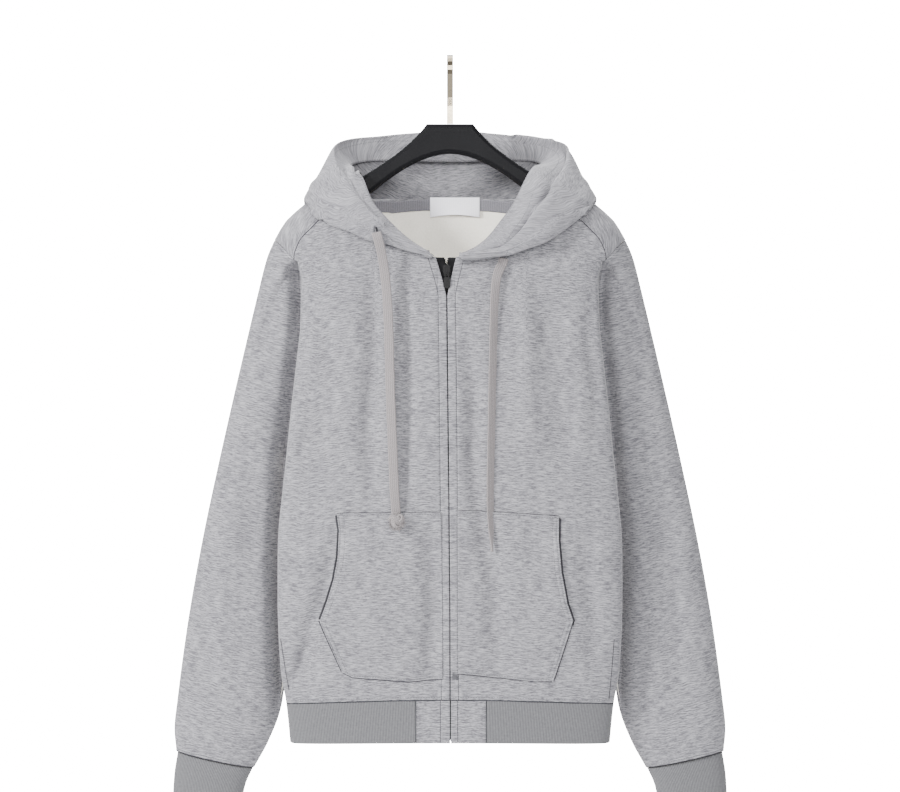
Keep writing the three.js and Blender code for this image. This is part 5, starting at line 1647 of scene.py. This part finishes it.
@dataclass
class CordKnot:
    """The knot at the left cord's end: the flat cord wound over itself, with its frayed tip."""

    middle: tuple[float, float, float] = (-67.2, -72.4, -597.3)
    steps: int = 220
    ring: int = 14
    strands: int = 150

    def tube(self, centre: Points, wide: Points, thick: float) -> tuple[Points, list, Points]:
        """A flattened tube along a line; wide is its width at each point."""
        along = unit(np.gradient(centre, axis=0))
        out = unit(centre - np.array(self.middle))
        face = unit(out - along * np.sum(out * along, axis=1, keepdims=True))
        across = np.cross(along, face)
        angle = np.linspace(0, 2 * math.pi, self.ring, endpoint=False)
        x, y = np.cos(angle), np.sin(angle)
        points = (
            centre[:, None] + across[:, None] * (x[None, :, None] * wide[:, None, None] / 2)
            + face[:, None] * y[None, :, None] * thick / 2
        )
        return closed_tube(points, x[None, :] * wide[:, None] / 2, polyline_length(centre))

    def build(self, finish: bpy.types.Material) -> bpy.types.Object:
        """Make the knot and its frayed tip as one mesh."""
        t = np.linspace(0.35, 2 * math.pi - 0.1, self.steps)
        x = (np.sin(t) + 2 * np.sin(2 * t)) * 2.9
        z = (np.cos(t) - 2 * np.cos(2 * t)) * 2.6
        y = -np.sin(3 * t) * 2.4
        centre = np.stack([x, y, z], -1) + np.array(self.middle) + np.array([0, 0, 1.2])
        parts = [self.tube(centre, np.full(self.steps, 8.6), 4.2)]
        heart = np.array(self.middle) + np.array([(-6.5, -0.4, -2.5), (0, -1.6, -0.8), (6, -0.4, 2.5)])
        parts.append(self.tube(through(heart, np.linspace(0, 1, 12)), np.array([6, *[15] * 10, 6.0]), 6.0))
        neck = np.array([(-68, -67.4, -586.5), (-67.8, -69, -591), (-67.4, -71.4, -596)])
        parts.append(self.tube(through(neck, np.linspace(0, 1, 12)), np.linspace(10, 5, 12), 2.6))
        dice = np.random.default_rng(7)
        for _ in range(self.strands):
            turn = dice.uniform(0, 2 * math.pi) if dice.random() < 0.5 else dice.normal(-math.pi / 2, 0.5)
            way = np.array([math.cos(turn), dice.uniform(-0.5, 0.1), math.sin(turn)])
            start = np.array(self.middle) + way * [7.6, 3.0, 7.2]
            curl = dice.normal(0, 1.1, (2, 3)) * [1, 0.4, 1]
            end = start + way * dice.uniform(2.0, 4.2)
            bent = np.array([start, (start + end) / 2 + curl[0], end + curl[1]])
            line = through(bent, np.linspace(0, 1, 7))
            parts.append(self.tube(line, np.linspace(0.7, 0.35, 7), 0.45))
        corners, faces, grains, count = [], [], [], 0
        for points, quads, grain in parts:
            corners.append(points)
            faces += [[k + count for k in face] for face in quads]
            grains.append(grain)
            count += len(points)
        every = np.concatenate(corners)
        return make_object("cord_knot", every, faces, [0] * len(faces), np.concatenate(grains), [finish])


# Stitching


# Share of the pocket opening that the wide line of painted mouth shadow covers.
POCKET_MOUTH = 0.66
EYELET_LEAN = np.array([0.25, 0.1, -1.0])
PLACKET_STITCH = 10.4
TAB_STITCH = {Side.LEFT: 12.4, Side.RIGHT: 8.4}
SIDE_SEAMS = (((-216, -749), (-211, -782), (-205.7, -815)), ((209, -749), (206, -790), (202.7, -829)))


@dataclass
class Stitching:
    """All topstitching, and the lines of painted seam shade, as small raised stitches that lie on the cloth.
    """

    corners: list[Points] = field(default_factory=list)
    faces: list[list[int]] = field(default_factory=list)
    count: int = 0

    def stitch(self, middle: Points, along: Points, out: Points, length: float, wide: float,
               high: float) -> None:
        """One stitch: a short bead, pointed at both ends."""
        across = np.cross(along, out)
        points = [middle + along * length * end - out * high * 0.5 for end in (-0.5, 0.5)]
        for end in (-0.27, 0.27):
            for a, b in ((1, 0), (0, 1), (-1, 0), (0, -0.6)):
                points.append(middle + along * length * end + across * wide / 2 * a + out * high * b)
        base = self.count
        for k in range(4):
            low, turned = base + 2 + k, base + 2 + (k + 1) % 4
            self.faces += [[base, turned, low], [low, turned, turned + 4, low + 4]]
            self.faces.append([base + 1, low + 4, turned + 4])
        self.corners.append(np.array(points))
        self.count += len(points)

    def run(self, line: tuple[Points, Points], pitch: float = 3.3, length: float = 2.5, wide: float = 0.75,
            high: float = 0.34, span: tuple[float, float] = (0.0, 1.0)) -> None:
        """A row of stitches along a line.

        Args:
            line: the points of the line and the normals there.
            pitch: from stitch to stitch, in millimetres.
            length: of one stitch.
            wide: breadth of the thread.
            high: how far it stands above the cloth.
            span: the part of the line that is stitched, as shares of its length.
        """
        points, normals = line
        reach = polyline_length(points)
        for at in np.arange(reach[-1] * span[0] + pitch, reach[-1] * span[1] - pitch, pitch):
            middle, ahead, out = (
                np.array([np.interp(d, reach, source[:, k]) for k in range(3)])
                for d, source in ((at, points), (at + 0.8, points), (at, normals))
            )
            self.stitch(middle, unit(ahead - middle), unit(out), length, wide, high)

    def buttonhole(self, middle: Points, along: Points, out: Points, length: float, wide: float) -> None:
        """A worked buttonhole: short stitches all round a slot."""
        across = np.cross(along, out)
        for angle in np.linspace(0, 2 * math.pi, 34, endpoint=False):
            way = along * math.cos(angle) * length / 2 + across * math.sin(angle) * wide / 2
            self.stitch(middle + way + out * 0.3, unit(way), out, 2.4, 1.0, 0.5)

    def bar(self, middle: Points, along: Points, out: Points, length: float, wide: float) -> None:
        """A bar tack: close stitches side by side; in the dark seam finish, a bar of painted shade."""
        across = np.cross(along, out)
        for step in np.linspace(-0.5, 0.5, int(length / 0.7)):
            self.stitch(middle + along * step * length, across, out, wide, 0.8, 0.45)

    def line(self, line: tuple[Points, Points], wide: float = 1.0,
             span: tuple[float, float] = (0.0, 1.0)) -> None:
        """A continuous line of close stitches that overlap; with the dark seam finish it is painted shade
        along a seam.
        """
        self.run(line, pitch=1.5, length=2.8, wide=wide, high=0.3, span=span)

    def on_front(self, places: Points, lift: float = 0.8) -> tuple[Points, Points]:
        """A line on the fronts through places seen from the front."""
        depth = BODY.front_face(places[:, 0], places[:, 1]) - lift
        return np.stack([places[:, 0], depth, places[:, 1]], -1), np.tile(TO_FRONT, (len(places), 1))

    def build(self, name: str, finish: bpy.types.Material) -> bpy.types.Object:
        """Make the stitches as one mesh."""
        corners = np.concatenate(self.corners)
        return make_object(name, corners, self.faces, [0] * len(self.faces), None, [finish])


# Finishes


LOOP_PITCH = 0.00105
ROW_PITCH = 0.0008
BRAID_PITCH = 0.0024


class Board:
    """Adds and wires nodes in a node tree."""

    def __init__(self, tree: bpy.types.NodeTree) -> None:
        """Keep the tree."""
        self.tree = tree

    def wire(self, node: bpy.types.Node, inputs: dict[str | int, object]) -> None:
        """Set a node's inputs to values, or link sockets to them."""
        for name, value in inputs.items():
            if isinstance(value, bpy.types.NodeSocket):
                self.tree.links.new(value, node.inputs[name])
            else:
                node.inputs[name].default_value = value

    def add(self, kind: str, inputs: dict[str | int, object] | None = None,
            **settings: object) -> bpy.types.Node:
        """Add a node.

        Args:
            kind: the node's type without its prefix.
            inputs: values or sockets for its inputs.
            settings: its other properties.

        Returns:
            The node.
        """
        node = self.tree.nodes.new(kind if kind.startswith("NodeGroup") else f"ShaderNode{kind}")
        for name, value in settings.items():
            setattr(node, name, value)
        self.wire(node, inputs or {})
        return node

    def math(self, operation: str, a: object, b: object = 0.0) -> bpy.types.NodeSocket:
        """The result of a sum of one or two numbers."""
        return self.add("Math", {0: a, 1: b}, operation=operation).outputs[0]

    def times(self, a: object, b: object) -> bpy.types.NodeSocket:
        """The product of two numbers."""
        return self.math("MULTIPLY", a, b)

    def plus(self, a: object, b: object) -> bpy.types.NodeSocket:
        """The sum of two numbers."""
        return self.math("ADD", a, b)

    def noise(self, vector: object, scale: float = 1.0, detail: float = 2.0) -> bpy.types.NodeSocket:
        """Soft noise from 0 to 1."""
        return self.add("TexNoise", {"Vector": vector, "Scale": scale, "Detail": detail}).outputs["Fac"]

    def stretched(self, u: object, v: object, across: float, along: float, detail: float = 2.0,
                  seed: float = 0.0) -> bpy.types.NodeSocket:
        """Soft noise, scaled differently across and along the cloth; the seed picks a pattern."""
        place = self.add("CombineXYZ", {0: self.times(u, across), 1: self.times(v, along), 2: seed})
        return self.noise(place.outputs[0], detail=detail)

    def spread(self, value: object, low: float, high: float, start: float = 0.0,
               end: float = 1.0) -> bpy.types.NodeSocket:
        """A value stretched from one range to another, and held inside it."""
        return self.add("MapRange", {0: value, 1: low, 2: high, 3: start, 4: end}).outputs[0]

    def mix(self, share: object, a: object, b: object) -> bpy.types.NodeSocket:
        """A colour between two."""
        return self.add("Mix", {0: share, 6: a, 7: b}, data_type="RGBA").outputs[2]

    def bump(self, strength: float, distance: float, height: object) -> bpy.types.NodeSocket:
        """A normal that is bent by a height."""
        return self.add("Bump", {"Strength": strength, "Distance": distance, "Height": height}).outputs[0]


Colour = tuple[float, float, float, float]


def shade(red: float, green: float, blue: float) -> Colour:
    """A colour from the numbers that a screen shows, 0 to 255."""
    parts = [c / 255 for c in (red, green, blue)]
    linear = [c / 12.92 if c <= 0.04045 else ((c + 0.055) / 1.055) ** 2.4 for c in parts]
    return (*linear, 1.0)


def new_group(name: str, setting: str, value: float) -> tuple[Board, dict[str, bpy.types.NodeSocket]]:
    """Start a cloth pattern's node group: two colours and a setting go in, colour and relief come out.

    Args:
        name: the group's name.
        setting: the name of its setting.
        value: the setting's usual value.

    Returns:
        The group's board, and its input sockets by name.
    """
    group = bpy.data.node_groups.new(name, "ShaderNodeTree")
    inputs = {"Light": (1.0, 1.0, 1.0, 1.0), "Dark": (0.0, 0.0, 0.0, 1.0), setting: value}
    for key, start in inputs.items():
        kind = "NodeSocketColor" if isinstance(start, tuple) else "NodeSocketFloat"
        group.interface.new_socket(name=key, in_out="INPUT", socket_type=kind).default_value = start
    group.interface.new_socket(name="Color", in_out="OUTPUT", socket_type="NodeSocketColor")
    group.interface.new_socket(name="Relief", in_out="OUTPUT", socket_type="NodeSocketFloat")
    board = Board(group)
    entry = board.add("NodeGroupInput")
    return board, {key: entry.outputs[key] for key in inputs}


def finish_group(board: Board, given: dict[str, bpy.types.NodeSocket], share: bpy.types.NodeSocket,
                 relief: bpy.types.NodeSocket) -> None:
    """Wire a group's outputs: a colour between its dark and its light by a share, and a relief."""
    colour = board.mix(share, given["Dark"], given["Light"])
    board.add("NodeGroupOutput", {"Color": colour, "Relief": relief})


def grain_axes(board: Board) -> tuple[bpy.types.NodeSocket, bpy.types.NodeSocket]:
    """Distance across and along the cloth, in metres."""
    uv = board.add("UVMap", None, uv_map="grain").outputs[0]
    parts = board.add("SeparateXYZ", {0: uv})
    return parts.outputs[0], parts.outputs[1]


def marl_group() -> None:
    """Knitted marl: short wavy streaks of lighter and darker yarn, and the fine loops under them."""
    board, given = new_group("marl grain", "Contrast", 1.0)
    u, v = grain_axes(board)
    sway = board.stretched(u, v, 55, 40, detail=1)
    wavy = board.plus(v, board.times(board.math("SUBTRACT", sway, 0.5), 0.005))
    streak = board.stretched(u, wavy, 85, 700, detail=2.5)
    fleck = board.stretched(u, wavy, 300, 1400, seed=3.0)
    cloud = board.stretched(u, v, 26, 42, seed=7.0)
    fine = board.plus(board.times(fleck, 0.34), board.times(cloud, 0.1))
    mixed = board.plus(board.times(streak, 0.56), fine)
    centred = board.times(board.math("SUBTRACT", mixed, 0.5), given["Contrast"])
    loops = board.math("SINE", board.times(u, 2 * math.pi / LOOP_PITCH))
    rows = board.math("SINE", board.times(v, 2 * math.pi / ROW_PITCH))
    knit = board.times(board.plus(loops, rows), 0.06)
    relief = board.plus(board.plus(streak, board.times(fleck, 0.6)), knit)
    finish_group(board, given, board.spread(centred, -0.085, 0.115), relief)


def rib_group() -> None:
    """Fine knitted rib: upright ribs with narrow grooves between them."""
    board, given = new_group("fine rib", "Pitch", 0.002)
    u, v = grain_axes(board)
    drift = board.stretched(u, v, 30, 14, detail=1)
    bent = board.plus(u, board.times(board.math("SUBTRACT", drift, 0.5), 0.0005))
    turn = board.times(board.math("DIVIDE", bent, given["Pitch"]), 2 * math.pi)
    rib = board.plus(board.times(board.math("SINE", turn), 0.5), 0.5)
    round_rib = board.math("POWER", rib, 0.6)
    yarn = board.stretched(u, v, 900, 160, seed=2.0)
    fleck = board.stretched(u, v, 260, 420, seed=5.0)
    fine = board.plus(board.times(yarn, 0.35), board.times(fleck, 0.3))
    tone = board.plus(board.times(round_rib, 0.5), fine)
    finish_group(board, given, board.spread(tone, 0.3, 0.9), board.plus(round_rib, yarn))


def braid_group() -> None:
    """Flat braid: yarns that slant to the middle from both edges."""
    board, given = new_group("flat braid", "Pitch", 0.0021)
    u, v = grain_axes(board)
    slant = board.plus(v, board.times(board.math("ABSOLUTE", u), 0.9))
    yarn = board.math("SINE", board.times(board.math("DIVIDE", slant, given["Pitch"]), 2 * math.pi))
    columns = board.math("SINE", board.times(u, 2 * math.pi / BRAID_PITCH))
    weave = board.plus(board.times(yarn, 0.25), board.times(columns, 0.22))
    tone = board.plus(weave, board.stretched(u, v, 900, 420))
    finish_group(board, given, board.spread(tone, 0.1, 0.95), tone)


def new_material(name: str) -> tuple[bpy.types.Material, Board, bpy.types.Node]:
    """Start a material, and give it with its board and its main shader."""
    material = bpy.data.materials.new(name)
    material.use_nodes = True
    return material, Board(material.node_tree), material.node_tree.nodes["Principled BSDF"]


@dataclass(frozen=True)
class ClothFinish:
    """A cloth's finish: a pattern group between two colours, with a soft sheen."""

    name: str
    group: str
    light: Colour
    dark: Colour
    extra: tuple[tuple[str, float], ...] = ()
    rough: float = 0.92
    sheen: float = 0.25
    bump: float = 0.22
    depth: float = 0.0005

    def build(self) -> bpy.types.Material:
        """Make the material."""
        material, board, shader = new_material(self.name)
        given = {"Light": self.light, "Dark": self.dark, **dict(self.extra)}
        pattern = board.add("Group", given, node_tree=bpy.data.node_groups[self.group])
        board.wire(shader, {
            "Base Color": pattern.outputs["Color"],
            "Normal": board.bump(self.bump, self.depth, pattern.outputs["Relief"]),
            "Roughness": self.rough, "Sheen Weight": self.sheen, "Sheen Roughness": 0.45,
            "Specular IOR Level": 0.2,
        })
        return material


@dataclass(frozen=True)
class FleeceFinish:
    """Brushed cream fleece inside the body."""

    name: str = "brushed_fleece"
    light: Colour = shade(252, 248, 238)
    dark: Colour = shade(236, 231, 220)

    def build(self) -> bpy.types.Material:
        """Make the material."""
        material, board, shader = new_material(self.name)
        u, v = grain_axes(board)
        tuft = board.stretched(u, v, 420, 360, detail=4)
        nap = board.stretched(u, v, 60, 40, detail=3)
        tone = board.plus(board.times(tuft, 0.6), board.times(nap, 0.4))
        board.wire(shader, {
            "Base Color": board.mix(board.spread(tone, 0.3, 0.7), self.dark, self.light),
            "Normal": board.bump(0.5, 0.0008, tuft),
            "Roughness": 1.0, "Sheen Weight": 0.35, "Specular IOR Level": 0.1,
        })
        return material


@dataclass(frozen=True)
class HardFinish:
    """Plastic, enamel or metal: one colour with fine unevenness in colour, gloss and surface."""

    name: str
    colour: Colour
    worn: Colour
    metallic: float
    rough: tuple[float, float]
    grain: tuple[float, float, float]
    bump: float = 0.1
    specular: float = 0.5

    def build(self) -> bpy.types.Material:
        """Make the material."""
        material, board, shader = new_material(self.name)
        place = board.add("TexCoord").outputs["Object"]
        fine = board.noise(board.add("Mapping", {"Vector": place, "Scale": self.grain}).outputs[0], detail=4)
        broad = board.noise(place, scale=18.0)
        tone = board.plus(board.times(fine, 0.5), board.times(broad, 0.5))
        board.wire(shader, {
            "Base Color": board.mix(board.spread(tone, 0.35, 0.7), self.colour, self.worn),
            "Roughness": board.spread(tone, 0.3, 0.7, *self.rough),
            "Normal": board.bump(self.bump, 0.0002, fine),
            "Metallic": self.metallic, "Specular IOR Level": self.specular,
        })
        return material


MARL = shade(157, 156, 160), shade(93, 92, 97)
FINISHES = {
    "marl": ClothFinish("grey_marl", "marl grain", *MARL),
    "hood": ClothFinish("grey_marl_hood", "marl grain", *MARL, (("Contrast", 0.75),), bump=0.08),
    "rib": ClothFinish("grey_rib", "fine rib", shade(113, 113, 115), shade(72, 72, 75)),
    "fleece": FleeceFinish(),
    "tape": ClothFinish(
        "neck_twill", "flat braid", shade(126, 125, 131), shade(96, 95, 101), (("Pitch", 0.0016),)
    ),
    "label": ClothFinish(
        "label_satin", "flat braid", shade(244, 243, 249), shade(230, 229, 236), (("Pitch", 0.0011),),
        rough=0.5, sheen=0.1, bump=0.08,
    ),
    "cord": ClothFinish(
        "cord_braid", "flat braid", shade(148, 142, 142), shade(110, 105, 106), rough=0.8, bump=0.5
    ),
    "thread": HardFinish(
        "grey_thread", shade(84, 84, 88), shade(104, 104, 108), 0.0, (0.7, 0.9), (900, 900, 900)
    ),
    # Painted shade: the seam finish is a dark grey for the lines that stand in for the shade in seams, pocket
    # mouths and the eyelet.
    "seam": HardFinish(
        "seam_grey", shade(48, 48, 51), shade(58, 58, 61), 0.0, (0.85, 0.95), (900, 900, 900), specular=0.1
    ),
    "zip_tape": ClothFinish(
        "zip_twill", "flat braid", shade(26, 26, 28), shade(12, 12, 14), (("Pitch", 0.0014),), sheen=0.1
    ),
    "zip_metal": HardFinish(
        "black_enamel", shade(6, 6, 7), shade(14, 14, 15), 0.0, (0.4, 0.55), (600, 600, 600), specular=0.14
    ),
    "hanger": HardFinish(
        "matte_plastic", shade(6, 6, 9), shade(11, 11, 14), 0.0, (0.48, 0.6), (1400, 1400, 1400),
        bump=0.25, specular=0.12,
    ),
    "hook": HardFinish(
        "brushed_nickel", shade(132, 123, 106), shade(108, 100, 86), 1.0, (0.16, 0.3), (300, 300, 2400)
    ),
}


def build_finishes() -> dict[str, bpy.types.Material]:
    """Make the pattern groups, and every finish once."""
    for group in (marl_group, rib_group, braid_group):
        group()
    return {name: finish.build() for name, finish in FINISHES.items()}


# Room and light


@dataclass(frozen=True)
class Lamp:
    """A soft area light."""

    name: str
    place: tuple[float, float, float]
    aim: tuple[float, float, float]
    size: float
    power: float
    colour: tuple[float, float, float] = (1.0, 1.0, 1.0)

    def build(self) -> None:
        """Make the light."""
        data = bpy.data.lights.new(self.name, "AREA")
        data.shape = "DISK"
        data.size = self.size
        data.energy = self.power
        data.color = self.colour
        lamp = bpy.data.objects.new(self.name, data)
        lamp.location = self.place
        way = np.array(self.aim) - np.array(self.place)
        flat = math.hypot(way[0], way[1])
        lamp.rotation_euler = (math.atan2(flat, -way[2]), 0, math.atan2(way[1], way[0]) - math.pi / 2)
        bpy.context.scene.collection.objects.link(lamp)


@dataclass(frozen=True)
class Studio:
    """A pale floor, a white surround and soft lamps."""

    floor: float = -1.3
    reach: float = 1.6
    surround: float = 20.0
    glow: float = 0.75
    lamps: tuple[Lamp, ...] = (
        Lamp("key_lamp", (-2.4, -1.75, 0.55), (0.0, 0.0, -0.45), 0.7, 168.0),
        Lamp("front_lamp", (0.05, -2.75, 0.1), (0.0, 0.0, -0.35), 0.9, 66.0),
        Lamp("fill_lamp", (2.1, -2.2, -0.2), (0.0, 0.0, -0.5), 1.6, 8.0),
        Lamp("top_lamp", (0.0, 0.2, 1.6), (0.0, 0.0, -0.3), 1.4, 56.0),
        Lamp("back_lamp", (0.5, 2.6, 0.5), (0.0, 0.0, -0.5), 1.4, 70.0),
    )

    def build(self) -> None:
        """Make the floor, the surround and the lamps."""
        ring = np.linspace(0, 2 * math.pi, 96, endpoint=False)
        edge = np.stack([np.cos(ring), np.sin(ring), 0 * ring], -1) * self.reach * 1000
        edge[:, 2] = self.floor * 1000
        paper, board, shader = new_material("pale_paper")
        mottle = board.noise(board.add("TexCoord").outputs["Object"], scale=40.0, detail=3)
        colour = board.mix(mottle, shade(240, 240, 241), shade(246, 246, 247))
        board.wire(shader, {"Base Color": colour, "Roughness": 0.9})
        floor = make_object("studio_floor", edge, [list(range(len(edge)))], [0], None, [paper])
        world = bpy.data.worlds.new("surround")
        world.use_nodes = True
        bpy.context.scene.world = world
        board = Board(world.node_tree)
        world.node_tree.nodes.clear()
        seen = board.add("Background", {"Color": (1.0, 1.0, 1.0, 1.0), "Strength": self.surround})
        lit = board.add("Background", {"Color": (0.97, 0.98, 1.0, 1.0), "Strength": self.glow})
        ray = board.add("LightPath").outputs["Is Camera Ray"]
        mixed = board.add("MixShader", {0: ray, 1: lit.outputs[0], 2: seen.outputs[0]})
        board.add("OutputWorld", {"Surface": mixed.outputs[0]})
        for lamp in self.lamps:
            lamp.build()


# The whole


@dataclass(frozen=True)
class Cut:
    """The flat size of what shows of a cloth piece, in metres and square metres."""

    width: float
    length: float
    area: float
    rests_on: str
    held: str = "hung"


@dataclass
class Hoodie:
    """The hoodie on its hanger."""

    finishes: dict[str, bpy.types.Material]
    sheets: dict[str, Sheet] = field(default_factory=dict)
    pieces: dict[str, bpy.types.Object] = field(default_factory=dict)

    def keep(self, piece: bpy.types.Object, slot: str, nodes: Sequence[str]) -> bpy.types.Object:
        """Put a piece on the garment, in the place of its solids."""
        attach(piece, "garment")
        if nodes:
            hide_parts(*nodes)
        self.pieces[piece.name] = piece
        LOG.info("built %s, %d faces", piece.name, len(piece.data.polygons))
        return piece

    def cords(self) -> None:
        """Both draw cords and the knot."""
        knot = self.keep(CordKnot().build(self.finishes["cord"]), "cord", ["drawcord_knot"])
        for name, route, extra in (("cord_left", CORD_LEFT, [knot]), ("cord_right", CORD_RIGHT, [])):
            cord = DrawCord(name, route)
            piece = self.keep(cord.build(self.finishes["cord"]), "cord", [f"draw{name}"])
            cord.declare(piece, extra)

    def panels(self) -> None:
        """Fronts, pockets, back, sleeves and cuffs."""
        cloth = [self.finishes["marl"], self.finishes["fleece"]]
        for side, outline, folds, rolls in (
            (Side.LEFT, POCKET_LEFT, SLEEVE_FOLDS_LEFT, SLEEVE_ROLLS_LEFT),
            (Side.RIGHT, POCKET_RIGHT, SLEEVE_FOLDS_RIGHT, SLEEVE_ROLLS_RIGHT),
        ):
            word = side.word
            for part, node, slot, finish in (
                (FrontPanel(side), f"front_{word}", "marl", cloth),
                (Pocket(side, outline), f"pocket_{word}", "marl", [self.finishes["marl"]] * 2),
                (Sleeve(side, folds, rolls), f"sleeve_{word}", "marl", cloth),
                (Cuff(side), f"cuff_{word}", "rib", [self.finishes["rib"]] * 2),
            ):
                self.sheets[node] = part.sheet()
                self.keep(make_cloth(part.title(), [self.sheets[node]], finish), slot, [node])
        back = BackPanel()
        parts = back.sheets()
        for name, part in zip(("back", "back_left", "back_right"), parts):
            self.sheets[name] = part
        self.keep(make_cloth("back_panel", parts, cloth), "marl", ["back"])

    def trims(self) -> None:
        """Hem, hood, neck tape, label and zip."""
        f = self.finishes
        for name, part in HemBand().sheets().items():
            node = name.replace("hem_band", "hem_rib").replace("hem_end", "hem_tab")
            self.sheets[node] = part
            slot = "rib" if node == "hem_rib" else "marl"
            self.keep(make_cloth(name, [part], [f[slot]] * 2), slot, [node])
        trim = NeckTrim()
        zipper = Zip()
        for name, node, part, finish, slot in (
            ("lying_hood", "hood", Hood().sheet(), f["hood"], "marl"),
            ("neck_twill_tape", "neck_tape", trim.tape(), f["tape"], "tape"),
            ("blank_label", "neck_label", trim.label(), f["label"], "label"),
            ("zip_side_left", "zip_tape_left", zipper.sheet(-1), f["zip_tape"], "zip_tape"),
            ("zip_side_right", "zip_tape_right", zipper.sheet(1), f["zip_tape"], "zip_tape"),
        ):
            self.sheets[node] = part
            self.keep(make_cloth(name, [part], [finish] * 2), slot, [node])
        for side in Side:
            corners, faces = zipper.teeth(side.value)
            name = f"zip_teeth_{side.word}"
            piece = make_object(name, corners, faces, [0] * len(faces), None, [f["zip_metal"]])
            self.keep(piece, "zip_metal", [])

    def seams(self) -> None:
        """All the stitching."""
        work, sheets = Stitching(), self.sheets
        for side in Side:
            for part, border, distance in (
                ("front", "first", PLACKET_STITCH), ("hem_tab", "first", TAB_STITCH[side]),
                ("hem_tab", "last", 2.0), ("front", "foot", 4.0), ("pocket", "foot", 2.5),
                ("pocket", "head", 2.5), ("pocket", "last", 2.5), ("pocket", "last", 8.7),
                ("sleeve", "foot", 4.0), ("sleeve", "head", 3.5), ("back", "head", 3.5),
            ):
                work.run(sheets[f"{part}_{side.word}"].line(border, distance))
        for name in ("back", "back_left", "back_right"):
            work.run(sheets[name].line("foot", 4.0))
        tack = np.array([6.5, float(BODY.front_face(np.array(6.5), np.array(-794.0))) - 0.3, -794.0])
        work.bar(tack, np.array([0.0, 0.0, -1.0]), TO_FRONT, 10, 9)
        hood = sheets["hood"]
        work.run(hood.line("head", 27.0))
        work.run(hood.line("head", 1.6))
        place = np.array(CORD_LEFT.points[0]) * 1000
        work.buttonhole(place + [0, 2.0, 1.0], unit(EYELET_LEAN), TO_FRONT, 14, 5)
        self.keep(work.build("topstitching", self.finishes["thread"]), "marl", [])

    def seam_lines(self) -> None:
        """Painted shade: dark beads along the seams where the cloth is drawn in, a wide one for the shadow in
        each pocket mouth, and a dark bar for the shade in the eyelet of the left cord.
        """
        lines, sheets = Stitching(), self.sheets
        along = np.linspace(0, 1, 160)
        for side, outline in ((Side.LEFT, POCKET_LEFT), (Side.RIGHT, POCKET_RIGHT)):
            front, sleeve, tab = (sheets[f"{part}_{side.word}"] for part in ("front", "sleeve", "hem_tab"))
            mouth = along_line(outline.opening, along) + [side.value * 0.9, 0]
            # Painted shadow in the pocket's mouth: a wide dark line along the open part, then a thin line of
            # painted seam shade along the rest.
            lines.line(lines.on_front(mouth, 1.0), wide=3.0, span=(0.01, POCKET_MOUTH))
            lines.line(lines.on_front(mouth), span=(POCKET_MOUTH, 1.0))
            lines.line(lines.on_front(along_line(outline.foot, along) - [0, 0.5]))
            lines.line(lines.on_front(along_line(outline.top, along) + [0, 0.4]), wide=0.6)
            lines.line(front.line("foot", 0.2), wide=1.3)
            lines.line(front.line("first", PLACKET_STITCH), wide=0.8)
            lines.line(tab.line("first", TAB_STITCH[side]), wide=0.8)
            lines.line(tab.line("last", 0.2), wide=1.2)
            lines.line(front.line("head", 0.3), wide=1.0, span=(0.45, 1.0))
            lines.line(sleeve.line("head", 0.2), wide=1.3)
        for ends in SIDE_SEAMS:
            lines.line(lines.on_front(along_line(ends, along)), wide=0.8)
        # Painted shade in the eyelet where the left cord comes out: a short dark bar.
        place = np.array(CORD_LEFT.points[0]) * 1000 + [0.8, -0.4, 2.5]
        lines.bar(place, unit(EYELET_LEAN), TO_FRONT, 8, 3)
        self.keep(lines.build("seam_lines", self.finishes["seam"]), "marl", [])

    def hardware(self) -> None:
        """Better finishes for the rigid pieces that stay as they are."""
        f = self.finishes
        for name, finish in (
            ("hanger_body", f["hanger"]), ("hanger_hook", f["hook"]), ("zip_slider", f["zip_metal"]),
            ("zip_pull", f["zip_metal"]),
        ):
            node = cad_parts[name]
            node = bpy.data.objects[name] if isinstance(node, (str, dict)) else node
            for slot in node.material_slots:
                slot.material = finish
            LOG.info("finished %s", name)

    def declare(self) -> None:
        """Does nothing."""


def main() -> None:
    """Build the hoodie, its studio and camera."""
    logging.basicConfig(level=logging.INFO, format="%(message)s")
    Camera().build()
    hoodie = Hoodie(build_finishes())
    hoodie.cords()
    hoodie.panels()
    hoodie.trims()
    hoodie.seams()
    hoodie.seam_lines()
    hoodie.hardware()
    hoodie.declare()
    Studio().build()


if __name__ == "__main__":
    main()
